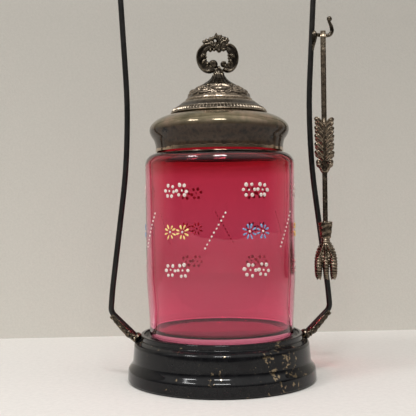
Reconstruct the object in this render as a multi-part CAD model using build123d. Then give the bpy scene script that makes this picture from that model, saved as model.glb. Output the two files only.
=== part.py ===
from build123d import *
import math
import os

os.makedirs("parts", exist_ok=True)

# A lift-out glass jar with a lift-off silver-plated lid, in a plated stand with a tall wire handle
# and a pair of tongs on a hook. Millimetres, +Z up, origin on the table under the jar's axis.
# The handle lies in the XZ plane, the hook and tongs are on +X and the front is -Y.

# Radii of the glass jar, from which the stand and the lid take theirs
jar_radius = 43.5
jar_foot_taper = 1.5
jar_foot_radius = jar_radius - jar_foot_taper
jar_shoulder_width = 7.4
jar_neck_radius = jar_radius - jar_shoulder_width

# Foot and body of the stand, spun from one sheet
jar_side_room = 5.2
collar_radius = jar_foot_radius + jar_side_room
rim_lip_width = 1.8
body_step = 3.8
body_taper = 0.8
body_radius = collar_radius + body_step + body_taper
foot_step = 3.2
foot_radius = body_radius + foot_step
foot_bevel = 1.6
foot_rest_radius = foot_radius - foot_bevel
foot_lip_width = 2.4
foot_taper = 0.5
foot_edge_height = 1.5
foot_wall_height = 8.0
foot_slope_height = 2.6
body_start_height = foot_wall_height + foot_slope_height
body_wall_height = 11.4
body_top_height = body_start_height + body_wall_height
body_slope_height = 1.9
collar_start_height = body_top_height + body_slope_height
collar_wall_height = 3.1
rim_height = collar_start_height + collar_wall_height
foot_curve = 2.2
body_curve = 1.6
shoulder_curve = 1.8
collar_curve = 1.2
rim_curve = 0.5
base_wall = 0.9

# Dish that the jar stands in
dish_wall = 0.8
dish_slope = 0.7
dish_depth = 1.1
dish_curve = 0.4
dish_side_gap = 1.4

# Heights and walls of the glass jar
jar_foot_height = 7.0
jar_taper_end = rim_height + jar_foot_height
jar_taper_height = 24.0
jar_taper_start = jar_taper_end + jar_taper_height
jar_taper_curve = 60.0
jar_foot_curve = 30.0
jar_heel_curve = 2.6
jar_shoulder_height = 130.6
jar_shoulder_curve = 6.6
jar_shoulder_slope = 1.2
jar_neck_curve = 2.2
jar_neck_height = 13.2
jar_mouth_height = jar_shoulder_height + jar_neck_height
jar_wall = 2.6
jar_neck_wall = 2.3
jar_floor = 3.6
jar_lip_curve = 0.8
jar_seat_gap = 0.2

# Enamel on the jar
cluster_count = 6
first_cluster_angle = 22.2
flower_spacing = 8.2
lower_flower_rise = 8.0
lower_flower_height = jar_taper_start + lower_flower_rise
flower_row_gap = 20.8
middle_flower_height = lower_flower_height + flower_row_gap
upper_row_gap = 22.4
upper_flower_height = middle_flower_height + upper_row_gap
enamel_height = 0.45
enamel_gap = 0.02
dot_radius = 1.15
small_dot_radius = 0.65
flower_radius = 3.2
flower_dots = 6
petal_count = 8
petal_ring_radius = 2.9
petal_length = 2.1
petal_width = 1.15
petal_draft = 12.0
line_dots = 10
line_rise = 18.9
line_run = 11.2
line_offset_angle = -30.0
line_lift = 0.7
line_dot_radius = 0.8

# Lid, which takes its skirt from the jar's neck and its height from the jar's mouth
lid_wall = 0.8
lid_neck_gap = 0.5
lid_skirt_radius = jar_neck_radius + lid_neck_gap + lid_wall
lid_mouth_cover = 10.6
lid_rim_height = jar_mouth_height - lid_mouth_cover
lid_skirt_rise = 5.4
lid_skirt_height = lid_rim_height + lid_skirt_rise
lid_skirt_curve = 5.0
lid_bulge_width = 4.4
lid_widest_radius = lid_skirt_radius + lid_bulge_width
lid_bulge_rise = 6.7
lid_widest_height = lid_skirt_height + lid_bulge_rise
lid_bulge_curve = 4.2
lid_shoulder_width = 5.9
lid_shoulder_radius = lid_widest_radius - lid_shoulder_width
lid_shoulder_rise = 6.9
lid_shoulder_height = lid_widest_height + lid_shoulder_rise
lid_shoulder_curve = 3.0
lid_slope_width = 10.9
lid_step_radius = lid_shoulder_radius - lid_slope_width
lid_slope_rise = 4.2
lid_step_height = lid_shoulder_height + lid_slope_rise
lid_cove_width = 4.0
lid_cove_radius = lid_step_radius - lid_cove_width
lid_cove_rise = 5.0
lid_cove_height = lid_step_height + lid_cove_rise
lid_cove_curve = 2.0
lid_top_width = 3.6
lid_top_radius = lid_cove_radius - lid_top_width

# Collar inside the lid, which drops into the jar's mouth
inner_collar_depth = 7.0
inner_collar_wall = 0.8
inner_collar_gap = 0.4
inner_collar_seat_gap = 0.15
inner_collar_edge_gap = 0.1

# Ribbed band on the lid's slope: a rim, a sloping row of ribs, a lip and a plain ledge
band_rim_overhang = 3.4
band_rim_radius = lid_step_radius + band_rim_overhang
band_rim_drop = 1.8
band_rim_bottom = lid_step_height - band_rim_drop
band_rim_height = 0.9
band_rib_bottom = band_rim_bottom + band_rim_height
band_rib_inset = 1.6
band_rib_radius = band_rim_radius - band_rib_inset
band_rib_rise = 2.0
band_rib_top = band_rib_bottom + band_rib_rise
band_lip_width = 0.6
band_lip_rise = 0.4
band_ledge_gap = 0.3
band_curve = 0.2
band_ribs = 88
band_groove_radius = 0.38

# Stamped dome that carries the finial
dome_inset = 2.2
dome_radius = lid_cove_radius - dome_inset
dome_crown = 4.3
dome_sphere_radius = dome_radius + dome_crown
dome_drop = math.sqrt(dome_sphere_radius ** 2 - dome_radius ** 2)
dome_edge_rise = 1.72
dome_edge_height = lid_cove_height + lid_wall + dome_edge_rise
dome_top_height = dome_edge_height + dome_sphere_radius - dome_drop
dome_wall = 0.8
dome_rim_flange = 0.8
dome_rim_radius = dome_radius + dome_rim_flange
dome_rim_height = 1.4
dome_boss_count = 8
dome_boss_radius = 2.5
dome_boss_relief = 0.55
dome_boss_angle = 34.0

# Flared collar under the finial
finial_collar_radius = 10.2
finial_neck_radius = 3.1
finial_collar_rise = 4.6
finial_collar_top = dome_top_height + finial_collar_rise
finial_edge = 0.6
finial_bead_height = 1.8
finial_collar_curve = 1.5
finial_flutes = 16
flute_radius = 0.55

# Finial, a ring of two C scrolls under a shell crest
ring_half_width = 9.9
ring_half_height = 7.0
scroll_radius = 2.9
ring_seat_depth = 0.2
ring_centre_height = finial_collar_top + ring_half_height + scroll_radius - ring_seat_depth
left_volute_radius = 2.9
right_volute_radius = 2.2
volute_drop = 4.5
volute_height = ring_centre_height - volute_drop
volute_spread = 3.1
volute_thickness = 5.4
crest_points = 5
crest_root_depth = 0.7
crest_root_height = ring_centre_height + ring_half_height - crest_root_depth
crest_rise = 8.3
crest_height = crest_root_height + crest_rise
crest_half_angle = 58.0
crest_side_share = 0.82
crest_lobe_radius = 1.7
crest_tip_radius = 0.9

# Stud, washer and nut that hold the finial
stud_radius = 1.5
stud_reach = 1.2
stud_top = finial_collar_top + stud_reach
stud_drop = 5.6
stud_bottom = dome_top_height - stud_drop
stud_gap = 0.12
washer_radius = 5.0
washer_thickness = 0.8
nut_width = 6.0
nut_thickness = 2.4
stack_gap = 0.05

# Handle, one wire bent into an arch: its end, then how far each corner of its right half is from
# the corner before, outwards and upwards, with the bend there
wire_radius = 1.65
wire_end_outset = 2.7
wire_end_drop = 1.5
wire_end = (collar_radius + wire_end_outset, rim_height - wire_end_drop)
wire_elbow_outset = 14.5
wire_elbow_rise = 14.5
wire_elbow = (wire_end[0] + wire_elbow_outset, wire_end[1] + wire_elbow_rise)
wire_elbow_bend = 6.0
wire_knee_inset = 1.1
wire_knee_rise = 13.0
wire_knee = (wire_elbow[0] - wire_knee_inset, wire_elbow[1] + wire_knee_rise)
wire_knee_bend = 180.0
wire_waist_inset = 8.7
wire_waist_rise = 69.0
wire_waist_low = (wire_knee[0] - wire_waist_inset, wire_knee[1] + wire_waist_rise)
wire_waist_low_bend = 340.0
wire_waist_taper = 1.3
wire_waist_length = 38.0
wire_waist_high = (wire_waist_low[0] - wire_waist_taper, wire_waist_low[1] + wire_waist_length)
wire_waist_high_bend = 340.0
wire_shoulder_outset = 5.4
wire_shoulder_rise = 98.0
wire_shoulder = (wire_waist_high[0] + wire_shoulder_outset, wire_waist_high[1] + wire_shoulder_rise)
wire_shoulder_bend = 30.0
wire_crown_inset = 16.7
wire_crown_corner_rise = 21.0
wire_crown_corner = (wire_shoulder[0] - wire_crown_inset, wire_shoulder[1] + wire_crown_corner_rise)
wire_crown_corner_bend = 26.0
wire_crown_rise = 8.0
wire_crown_top = wire_crown_corner[1] + wire_crown_rise
wire_crown_bend = 95.0

# Cast leaves that join the wire to the stand
leaf_length = 19.0
leaf_wall = 1.3
leaf_lobes = 5
leaf_lobe_radius = 2.0
leaf_lobe_shrink = 0.13
leaf_lobe_spread = 2.3
lug_radius = 3.3
lug_length = 4.4
solder_gap = 0.05

# Hook for the tongs, on the run of wire above its waist
hook_plate_rise = 29.4
hook_plate_bottom = wire_waist_high[1] + hook_plate_rise
hook_plate_height = 15.0
hook_plate_top = hook_plate_bottom + hook_plate_height
hook_plate_outset = 6.3
hook_plate_reach = wire_waist_high[0] + hook_plate_outset
hook_plate_belly = 10.0
hook_plate_thickness = 4.4
hook_wire_radius = 1.15
hook_arm_drop = 3.1
hook_arm_height = hook_plate_top - hook_arm_drop
hook_arm_length = 7.3
hook_elbow = hook_plate_reach + hook_arm_length
hook_elbow_bend = 3.2
hook_tip_rise = 6.7
hook_tip_height = hook_arm_height + hook_tip_rise
hook_tip_bend = 2.4
hook_tip_lean = 0.7
hook_ball_inset = 0.6
hook_ball_rise = 3.0
hook_ball = (hook_elbow - hook_ball_inset, hook_tip_height + hook_ball_rise)
hook_ball_radius = 1.65

# Tongs
strip_width = 3.5
strip_thickness = 1.4
hang_side_gap = 1.05
tongs_x = hook_plate_reach + hang_side_gap + strip_width / 2
tongs_turn = -12.0
bow_inner_radius = 4.2
hang_gap = 0.35
bow_leg_length = 5.6
bow_centre_height = hook_arm_height + hook_wire_radius + hang_gap - bow_inner_radius
pivot_height = bow_centre_height - bow_leg_length
pivot_gap = 0.3
arm_spread = 4.5
reed_radius = 0.35
reed_spacing = 1.1
leaf_drop = 69.5
leaf_bottom = pivot_height - leaf_drop
leaflet_pairs = 5
leaflet_pitch = 4.8
leaflet_length = 6.6
leaflet_width = 3.6
leaflet_angle = 48.0
leaflet_offset = 2.9
leaf_relief = 1.5
leaf_stem_width = 3.0
leaf_stem_reach = 1.85
cuff_drop = 102.5
cuff_top = pivot_height - cuff_drop
cuff_length = 9.3
cuff_bottom = cuff_top - cuff_length
cuff_floor = 1.0
cuff_top_width = 6.0
cuff_waist_width = 5.4
cuff_bottom_width = 7.4
cuff_depth = 4.6
wrist_length = 2.8
wrist_height = cuff_bottom - wrist_length
wrist_width = 5.4
wrist_depth = 3.6
palm_length = 5.8
palm_height = wrist_height - palm_length
palm_width = 9.8
palm_depth = 4.4
knuckle_drop = 3.6
knuckle_height = palm_height - knuckle_drop
knuckle_width = 12.4
knuckle_depth = 3.8
toe_root_radius = 2.1
toe_tip_radius = 1.5
toe_root_lift = 0.2
toe_root_height = knuckle_height + toe_root_lift
toe_length = 10.6
toe_tip_height = toe_root_height - toe_length
toe_root_spread = 4.1
toe_bend_spread = 5.1
toe_tip_spread = 4.9
toe_bulge = 1.1
toe_curl = 1.4


def point(radius, height):
    return Vector(radius, 0, height)


def spin(face):
    return revolve(face, Axis.Z, 360)


# The face inside lines and arcs that close on each other
def closed_face(*pieces):
    edges = [edge for piece in pieces for edge in piece.edges()]
    return Face(Wire(edges))


# Straight runs through the corners, with a round bend at each inner one
def path_through(corners, bends):
    return FilletPolyline(*[point(*corner) for corner in corners], radius=bends)


# A turned sheet of even thickness whose outer face follows the path upwards
def turned_sheet(corners, bends, wall):
    path = path_through(corners, bends)
    band = Wire(path.edges()).offset_2d(wall, kind=Kind.ARC, side=Side.RIGHT, closed=True)
    return spin(Face(band))


# The solid between a turned path and the upright axis
def turned_block(corners, bends):
    path = path_through(corners, bends)
    low = path @ 0
    high = path @ 1
    top = Line(high, point(0, high.Z))
    axis = Line(point(0, high.Z), point(0, low.Z))
    foot = Line(point(0, low.Z), low)
    return spin(closed_face(path, top, axis, foot))


# An upright tube, or a disc where the inner radius is 0
def ring(outer_radius, inner_radius, bottom, top):
    disc = Pos(0, 0, bottom) * extrude(Circle(outer_radius), top - bottom)
    if inner_radius <= 0:
        return disc
    return disc - Pos(0, 0, bottom) * extrude(Circle(inner_radius), top - bottom)


def base_corners():
    body_top_radius = body_radius - body_taper
    return [
        (foot_rest_radius - foot_lip_width, 0),
        (foot_rest_radius, 0),
        (foot_radius, foot_edge_height),
        (foot_radius - foot_taper, foot_wall_height),
        (body_radius, body_start_height),
        (body_top_radius, body_top_height),
        (collar_radius, collar_start_height),
        (collar_radius, rim_height),
        (collar_radius - rim_lip_width, rim_height),
    ]


def base_bends():
    edge_curve = foot_edge_height / 2
    return [edge_curve, edge_curve, foot_curve, body_curve, shoulder_curve, collar_curve, rim_curve]


def base_shell():
    return turned_sheet(base_corners(), base_bends(), base_wall)


# The dish hangs from the underside of the rim's lip
def dish_top():
    return rim_height - base_wall - solder_gap


def dish_floor():
    return dish_top() - dish_depth


def seat_dish():
    floor_radius = jar_foot_radius + dish_side_gap
    corners = [
        (collar_radius - base_wall - solder_gap, dish_top()),
        (floor_radius + dish_slope, dish_top()),
        (floor_radius, dish_floor()),
        (0, dish_floor()),
    ]
    return turned_sheet(corners, [dish_curve, dish_curve], dish_wall)


def jar_bottom():
    return dish_floor() + jar_seat_gap


# The outside of the glass from its foot to its mouth
def jar_outer_corners():
    return [
        (jar_foot_radius, jar_bottom()),
        (jar_foot_radius, jar_taper_end),
        (jar_radius, jar_taper_start),
        (jar_radius, jar_shoulder_height),
        (jar_neck_radius, jar_shoulder_height + jar_shoulder_slope),
        (jar_neck_radius, jar_mouth_height),
    ]


def jar_inner_corners():
    shoulder_inside = jar_shoulder_height - jar_wall
    neck_inside = jar_neck_radius - jar_neck_wall
    return [
        (jar_foot_radius - jar_wall, jar_bottom() + jar_floor),
        (jar_foot_radius - jar_wall, jar_taper_end),
        (jar_radius - jar_wall, jar_taper_start),
        (jar_radius - jar_wall, shoulder_inside),
        (neck_inside, shoulder_inside + jar_shoulder_slope),
        (neck_inside, jar_mouth_height),
    ]


def glass_jar():
    outer_bends = [jar_foot_curve, jar_taper_curve, jar_shoulder_curve, jar_neck_curve]
    inner_bends = [jar_foot_curve, jar_taper_curve, jar_shoulder_curve - jar_wall, jar_neck_curve]
    outside = turned_block(jar_outer_corners(), outer_bends)
    heel = outside.edges().group_by(Axis.Z)[0]
    outside = fillet(heel, jar_heel_curve)
    mouth = outside.edges().group_by(Axis.Z)[-1]
    outside = fillet(mouth, jar_lip_curve)
    inside = turned_block(jar_inner_corners(), inner_bends)
    inner_heel = inside.edges().group_by(Axis.Z)[0]
    inside = fillet(inner_heel, jar_heel_curve)
    return outside - inside


# A flat-based dome of enamel, set on the glass at an angle round the jar and a height
def on_glass(shape, angle, height):
    stand_off = jar_radius + enamel_gap
    return Pos(0, 0, height) * Rot(0, 0, angle) * Pos(0, -stand_off, 0) * Rot(90, 0, 0) * shape


def dot(radius):
    ball_radius = (radius * radius + enamel_height * enamel_height) / (2 * enamel_height)
    ball = Pos(0, 0, enamel_height - ball_radius) * Sphere(ball_radius)
    return ball & Pos(0, 0, enamel_height) * Box(4 * radius, 4 * radius, 2 * enamel_height)


def petal():
    outline = SlotOverall(petal_length, petal_width)
    return extrude(outline, enamel_height, taper=petal_draft)


# Arc along the glass, as an angle at the axis
def arc_angle(length):
    return math.degrees(length / jar_radius)


def cluster_angles():
    return [first_cluster_angle + 360 / cluster_count * n for n in range(cluster_count)]


def flower_places(height):
    half = arc_angle(flower_spacing) / 2
    return [(angle + side * half, height) for angle in cluster_angles() for side in (-1, 1)]


def white_flowers():
    pieces = []
    for height in (upper_flower_height, lower_flower_height):
        for angle, level in flower_places(height):
            pieces.append(on_glass(dot(small_dot_radius), angle, level))
            for n in range(flower_dots):
                turn = math.radians(360 / flower_dots * n)
                across = arc_angle(flower_radius * math.sin(turn))
                rise = flower_radius * math.cos(turn)
                pieces.append(on_glass(dot(dot_radius), angle + across, level + rise))
    return Compound(children=pieces)


# Every other cluster round the jar has the same colour
def petal_flowers(first):
    pieces = []
    places = flower_places(middle_flower_height)
    chosen = [place for n, place in enumerate(places) if (n // 2) % 2 == first]
    for angle, level in chosen:
        for n in range(petal_count):
            turn = 360 / petal_count * (n + 0.5)
            across = arc_angle(petal_ring_radius * math.sin(math.radians(turn)))
            rise = petal_ring_radius * math.cos(math.radians(turn))
            leaf = Rot(0, 0, 90 - turn) * petal()
            pieces.append(on_glass(leaf, angle + across, level + rise))
    return Compound(children=pieces)


def petal_centres():
    places = flower_places(middle_flower_height)
    return Compound(children=[on_glass(dot(small_dot_radius), *place) for place in places])


def dotted_lines():
    pieces = []
    for angle in cluster_angles():
        for n in range(line_dots):
            share = n / (line_dots - 1) - 0.5
            across = arc_angle(line_run) * share
            height = middle_flower_height + line_lift + line_rise * share
            pieces.append(on_glass(dot(line_dot_radius), angle + line_offset_angle + across, height))
    return Compound(children=pieces)


def lid_corners():
    return [
        (lid_skirt_radius, lid_rim_height),
        (lid_skirt_radius, lid_skirt_height),
        (lid_widest_radius, lid_widest_height),
        (lid_shoulder_radius, lid_shoulder_height),
        (lid_step_radius, lid_step_height),
        (lid_cove_radius, lid_cove_height),
        (lid_top_radius, lid_cove_height + lid_wall),
    ]


def lid_bends():
    return [lid_skirt_curve, lid_bulge_curve, lid_shoulder_curve, lid_cove_curve, lid_cove_curve / 2]


def lid_shell():
    return turned_sheet(lid_corners(), lid_bends(), lid_wall)


def lid_block():
    return turned_block(lid_corners(), lid_bends())


# A flange on the jar's mouth, soldered inside the lid, with a short tube that drops into the neck
def lid_inner_collar():
    flange_bottom = jar_mouth_height + inner_collar_seat_gap
    flange_top = flange_bottom + inner_collar_wall
    tube_radius = jar_neck_radius - jar_neck_wall - inner_collar_gap
    tube_inside = tube_radius - inner_collar_wall
    flange = ring(lid_widest_radius, tube_inside, flange_bottom, flange_top)
    inside = lid_block() - lid_shell() - edge_clearance()
    tube = ring(tube_radius, tube_inside, flange_bottom - inner_collar_depth, flange_top)
    return (flange & inside) + tube


# A thin layer inside the lid's sheet, which the inner collar stops short of
def edge_clearance():
    return turned_sheet(lid_corners(), lid_bends(), lid_wall + inner_collar_edge_gap)


# The grooves between the ribs run up the slope of the band
def lid_bead_band():
    corners = [
        (band_rim_radius, band_rim_bottom),
        (band_rim_radius, band_rib_bottom),
        (band_rib_radius, band_rib_top),
        (band_rib_radius - band_lip_width, band_rib_top + band_lip_rise),
        (lid_cove_radius + band_ledge_gap, lid_cove_height),
    ]
    band = turned_block(corners, [band_curve] * 3) - lid_block()
    low = point(*corners[1])
    high = point(*corners[2])
    run = high - low
    groove = Plane(origin=low + run * 0.5, z_dir=run) * Cylinder(band_groove_radius, run.length)
    grooves = [Rot(0, 0, 360 / band_ribs * n) * groove for n in range(band_ribs)]
    return band - grooves


def dome_centre():
    return dome_top_height - dome_sphere_radius


# Height of the dome's outer face at a distance from the axis
def dome_height(radius):
    return dome_centre() + math.sqrt(dome_sphere_radius ** 2 - radius ** 2)


def lid_dome():
    rim_bottom = lid_cove_height + lid_wall
    ball = Pos(0, 0, dome_centre()) * Sphere(dome_sphere_radius)
    hollow = Pos(0, 0, dome_centre()) * Sphere(dome_sphere_radius - dome_wall)
    keep = ring(dome_radius, 0, rim_bottom, dome_top_height)
    boss_angle = math.radians(dome_boss_angle)
    for n in range(dome_boss_count):
        lift = dome_sphere_radius - dome_boss_radius + dome_boss_relief
        boss = Pos(lift * math.sin(boss_angle), 0, dome_centre() + lift * math.cos(boss_angle))
        ball += Rot(0, 0, 360 / dome_boss_count * n) * boss * Sphere(dome_boss_radius)
    rim = ring(dome_rim_radius, dome_radius - 2 * dome_wall, rim_bottom, rim_bottom + dome_rim_height)
    rim = fillet(rim.edges().filter_by(GeomType.CIRCLE).group_by(SortBy.RADIUS)[-1], dome_wall / 2)
    shell = (ball & keep) + rim
    shell -= hollow
    return shell - ring(stud_radius + stud_gap, 0, rim_bottom, dome_top_height + dome_wall)


# A flared foot under the ring, with flutes down its side
def finial_collar():
    edge = dome_height(finial_collar_radius)
    corners = [
        (finial_collar_radius, edge - dome_wall),
        (finial_collar_radius, edge + finial_edge),
        (finial_neck_radius + finial_edge, finial_collar_top - finial_bead_height),
        (finial_neck_radius, finial_collar_top),
    ]
    flare = turned_block(corners, [finial_edge / 2, finial_collar_curve])
    flare -= Pos(0, 0, dome_centre()) * Sphere(dome_sphere_radius)
    low = point(*corners[1])
    high = point(*corners[2])
    flute = taper(low, high, flute_radius, flute_radius / 2)
    for n in range(finial_flutes):
        flare -= Rot(0, 0, 360 / finial_flutes * n) * flute
    return flare - ring(stud_radius + stud_gap, 0, edge - dome_wall, finial_collar_top)


# A round bar between two points, with a ball at each end
def taper(start, end, start_radius, end_radius):
    run = end - start
    middle = Plane(origin=start + run * 0.5, z_dir=run)
    bar = middle * Cone(start_radius, end_radius, run.length)
    return bar + Pos(start) * Sphere(start_radius) + Pos(end) * Sphere(end_radius)


# A scroll ring with two volutes inside its foot and a shell crest on top
def finial_ring():
    casting = Part()
    for start in (-90, 90):
        centre = (0, ring_centre_height)
        scroll = EllipticalCenterArc(centre, ring_half_width, ring_half_height, start_angle=start, arc_size=180)
        casting += swept_wire((Plane.XZ * scroll).edges()[0], scroll_radius)
    volutes = [(-volute_spread, left_volute_radius), (volute_spread, right_volute_radius)]
    for x, radius in volutes:
        casting += Pos(x, 0, volute_height) * Rot(90, 0, 0) * Cylinder(radius, volute_thickness)
    root = point(0, crest_root_height)
    for n in range(crest_points):
        share = 2 * n / (crest_points - 1) - 1
        turn = math.radians(crest_half_angle * share)
        full = crest_height - crest_tip_radius - crest_root_height
        reach = full * (1 - (1 - crest_side_share) * abs(share))
        tip = root + Vector(math.sin(turn), 0, math.cos(turn)) * reach
        casting += taper(root, tip, crest_lobe_radius, crest_tip_radius)
    seat = finial_collar_top + stack_gap
    ring_foot = ring_centre_height - ring_half_height
    casting += ring(finial_neck_radius, 0, seat, ring_foot)
    casting -= ring(ring_half_width, 0, seat - scroll_radius, seat)
    return casting - ring(stud_radius + stud_gap, 0, seat, stud_top + stack_gap)


def finial_stud():
    return ring(stud_radius, 0, stud_bottom, stud_top)


# The washer's upper edge meets the inside of the dome
def washer_top():
    inside = dome_sphere_radius - dome_wall
    return dome_centre() + math.sqrt(inside ** 2 - washer_radius ** 2) - stack_gap


def finial_washer():
    return ring(washer_radius, stud_radius + stud_gap, washer_top() - washer_thickness, washer_top())


def finial_nut():
    top = washer_top() - washer_thickness - stack_gap
    nut = Pos(0, 0, top - nut_thickness) * extrude(Rectangle(nut_width, nut_width), nut_thickness)
    return nut - ring(stud_radius + stud_gap, 0, top - nut_thickness, top)


def mirrored(place):
    return (-place[0], place[1])


# One wire from the left end over the arch to the right end
def handle_path():
    bent = [
        (wire_elbow, wire_elbow_bend),
        (wire_knee, wire_knee_bend),
        (wire_waist_low, wire_waist_low_bend),
        (wire_waist_high, wire_waist_high_bend),
        (wire_shoulder, wire_shoulder_bend),
        (wire_crown_corner, wire_crown_corner_bend),
    ]
    right = [corner for corner, bend in bent]
    bends = [bend for corner, bend in bent]
    left = [mirrored(corner) for corner in right]
    corners = [mirrored(wire_end)] + left + [(0, wire_crown_top)] + right[::-1] + [wire_end]
    return path_through(corners, bends + [wire_crown_bend] + bends[::-1])


def swept_wire(path, radius):
    section = Plane(origin=path @ 0, z_dir=path % 0) * Circle(radius)
    return sweep(section, path=path)


def handle_wire():
    return swept_wire(handle_path(), wire_radius)


# The frame of the wire's right end: local Z runs up the wire and local X faces down and outwards
def wire_end_plane():
    run = (point(*wire_elbow) - point(*wire_end)).normalized()
    return Plane(origin=point(*wire_end), x_dir=Vector(run.Z, 0, -run.X), z_dir=run)


# A cast leaf under the wire's last run, with the lug that stands on the collar of the stand
def handle_leaf():
    gutter_radius = wire_radius + leaf_wall
    gutter = Pos(0, 0, leaf_length / 2) * Cylinder(gutter_radius, leaf_length)
    under = Pos(gutter_radius / 2, 0, leaf_length / 2) * Box(gutter_radius, 2 * gutter_radius, leaf_length)
    leaf = gutter & under
    pitch = (leaf_length - lug_length) / leaf_lobes
    for n in range(leaf_lobes):
        radius = leaf_lobe_radius * (1 - leaf_lobe_shrink * n)
        along = lug_length / 2 + pitch * (n + 0.5)
        for side in (-1, 1):
            leaf += Pos(wire_radius, side * leaf_lobe_spread * (1 - leaf_lobe_shrink * n), along) * Sphere(radius)
    leaf += Cylinder(lug_radius, lug_length)
    leaf = wire_end_plane() * leaf
    leaf -= handle_wire()
    leaf -= turned_block(base_corners(), base_bends())
    return leaf.solids().sort_by(SortBy.VOLUME)[-1]


# A leaf-shaped plate soldered to the outside of the right-hand wire
def hook_plate():
    slope = (wire_shoulder[0] - wire_waist_high[0]) / (wire_shoulder[1] - wire_waist_high[1])
    foot = wire_waist_high[0] + slope * (hook_plate_bottom - wire_waist_high[1])
    head = wire_waist_high[0] + slope * (hook_plate_top - wire_waist_high[1])
    belly = hook_plate_bottom + hook_plate_belly
    low = point(foot, hook_plate_bottom)
    high = point(head, hook_plate_top)
    face = closed_face(ThreePointArc(low, point(hook_plate_reach, belly), high), Line(high, low))
    plate = extrude(face, hook_plate_thickness / 2, both=True)
    return plate - handle_wire()


def hook_arm():
    corners = [
        (hook_plate_reach - hook_wire_radius, hook_arm_height),
        (hook_elbow, hook_arm_height),
        (hook_elbow + hook_tip_lean, hook_tip_height),
        hook_ball,
    ]
    arm = swept_wire(path_through(corners, [hook_elbow_bend, hook_tip_bend]), hook_wire_radius)
    arm += Pos(point(*hook_ball)) * Sphere(hook_ball_radius)
    return arm - hook_plate()


# The tongs hang turned a little about the upright, so that their front arm faces the viewer
def hung(shape):
    return Pos(tongs_x, 0, 0) * Rot(0, 0, tongs_turn) * Pos(-tongs_x, 0, 0) * shape


# The bent top of the tongs, which hangs over the hook
def tongs_bow():
    outer = bow_inner_radius + strip_thickness
    leg_bottom = pivot_height + pivot_gap / 2
    leg_length = bow_centre_height - leg_bottom
    legs = Pos(0, -leg_length / 2) * Rectangle(2 * outer, leg_length)
    gap = Pos(0, -leg_length / 2) * Rectangle(2 * bow_inner_radius, leg_length)
    outline = Circle(outer) + legs - Circle(bow_inner_radius) - gap
    outline -= Pos(0, -leg_length - outer) * Rectangle(4 * outer, 2 * outer)
    bow = extrude(Plane.YZ * outline, strip_width / 2, both=True)
    return hung(Pos(tongs_x, 0, bow_centre_height) * bow)


def strip_centre():
    return bow_inner_radius + strip_thickness / 2


# Swings a front arm's piece forward from the upright about the foot of the bow
def spread_out(shape):
    pivot = Pos(tongs_x, -strip_centre(), pivot_height)
    return pivot * Rot(-arm_spread, 0, 0) * shape


# Front arm pieces are made below the pivot, with X across the strip and -Y outwards
def below_pivot(height):
    return height - pivot_height


def front_strip():
    top = -pivot_gap / 2
    bottom = below_pivot(cuff_bottom + cuff_floor)
    strip = Pos(0, 0, (top + bottom) / 2) * Box(strip_width, strip_thickness, top - bottom)
    for side in (-1, 0, 1):
        reed = Pos(side * reed_spacing, -strip_thickness / 2, (top + bottom) / 2)
        strip -= reed * Cylinder(reed_radius, top - bottom)
    return strip


def front_leaf():
    length = leaflet_pitch * leaflet_pairs + leaf_stem_reach
    outline = Pos(0, length / 2) * SlotOverall(length, leaf_stem_width, rotation=90)
    for n in range(leaflet_pairs):
        for side in (-1, 1):
            place = Pos(side * leaflet_offset, leaflet_pitch * (n + 0.5))
            outline += place * Rot(0, 0, -side * leaflet_angle) * Ellipse(leaflet_width / 2, leaflet_length / 2)
    raised = extrude(Plane.XZ * outline, leaf_relief)
    return Pos(0, -strip_thickness / 2, below_pivot(leaf_bottom)) * raised


def oval(width, depth, height):
    return Pos(0, 0, below_pivot(height)) * Ellipse(width / 2, depth / 2)


# A waisted ferrule over the foot of the strip
def front_cuff():
    middle = (cuff_top + cuff_bottom) / 2
    sections = [
        oval(cuff_top_width, cuff_depth, cuff_top),
        oval(cuff_waist_width, cuff_depth * cuff_waist_width / cuff_top_width, middle),
        oval(cuff_bottom_width, cuff_depth, cuff_bottom),
    ]
    return loft(sections) - front_strip()


# A bird's claw with three toes that curl towards the other arm
def front_claw():
    top = cuff_bottom - stack_gap
    palm = loft(
        [
            oval(cuff_waist_width, wrist_depth, top),
            oval(wrist_width, wrist_depth, wrist_height),
            oval(palm_width, palm_depth, palm_height),
            oval(knuckle_width, knuckle_depth, knuckle_height),
        ]
    )
    claw = palm
    for side in (-1, 0, 1):
        claw += toe(side)
    return claw


def toe(side):
    fall = (toe_root_height - toe_tip_height) / 3
    spreads = [toe_root_spread, (toe_root_spread + toe_bend_spread) / 2, toe_bend_spread, toe_tip_spread]
    depths = [0, -toe_bulge, -toe_bulge / 2, toe_curl]
    thinning = (toe_root_radius - toe_tip_radius) / 3
    places = []
    for n in range(4):
        height = below_pivot(toe_root_height - fall * n)
        places.append(Vector(side * spreads[n], depths[n], height))
    bars = []
    for n in range(3):
        start_radius = toe_root_radius - thinning * n
        bars.append(taper(places[n], places[n + 1], start_radius, start_radius - thinning))
    return bars[0] + bars[1] + bars[2]


def rear(shape):
    return mirror(shape, about=Plane.XZ)


nodes = {
    "base_shell": base_shell(),
    "seat_dish": seat_dish(),
    "handle_wire": handle_wire(),
    "handle_leaf_right": handle_leaf(),
    "handle_leaf_left": mirror(handle_leaf(), about=Plane.YZ),
    "hook_plate": hook_plate(),
    "hook_arm": hook_arm(),
    "glass_jar": glass_jar(),
    "enamel_white_flowers": white_flowers(),
    "enamel_yellow_flowers": petal_flowers(1),
    "enamel_blue_flowers": petal_flowers(0),
    "enamel_flower_centres": petal_centres(),
    "enamel_dotted_lines": dotted_lines(),
    "lid_shell": lid_shell(),
    "lid_inner_collar": lid_inner_collar(),
    "lid_bead_band": lid_bead_band(),
    "lid_dome": lid_dome(),
    "finial_collar": finial_collar(),
    "finial_ring": finial_ring(),
    "finial_stud": finial_stud(),
    "finial_washer": finial_washer(),
    "finial_nut": finial_nut(),
    "tongs_bow": tongs_bow(),
}

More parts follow.
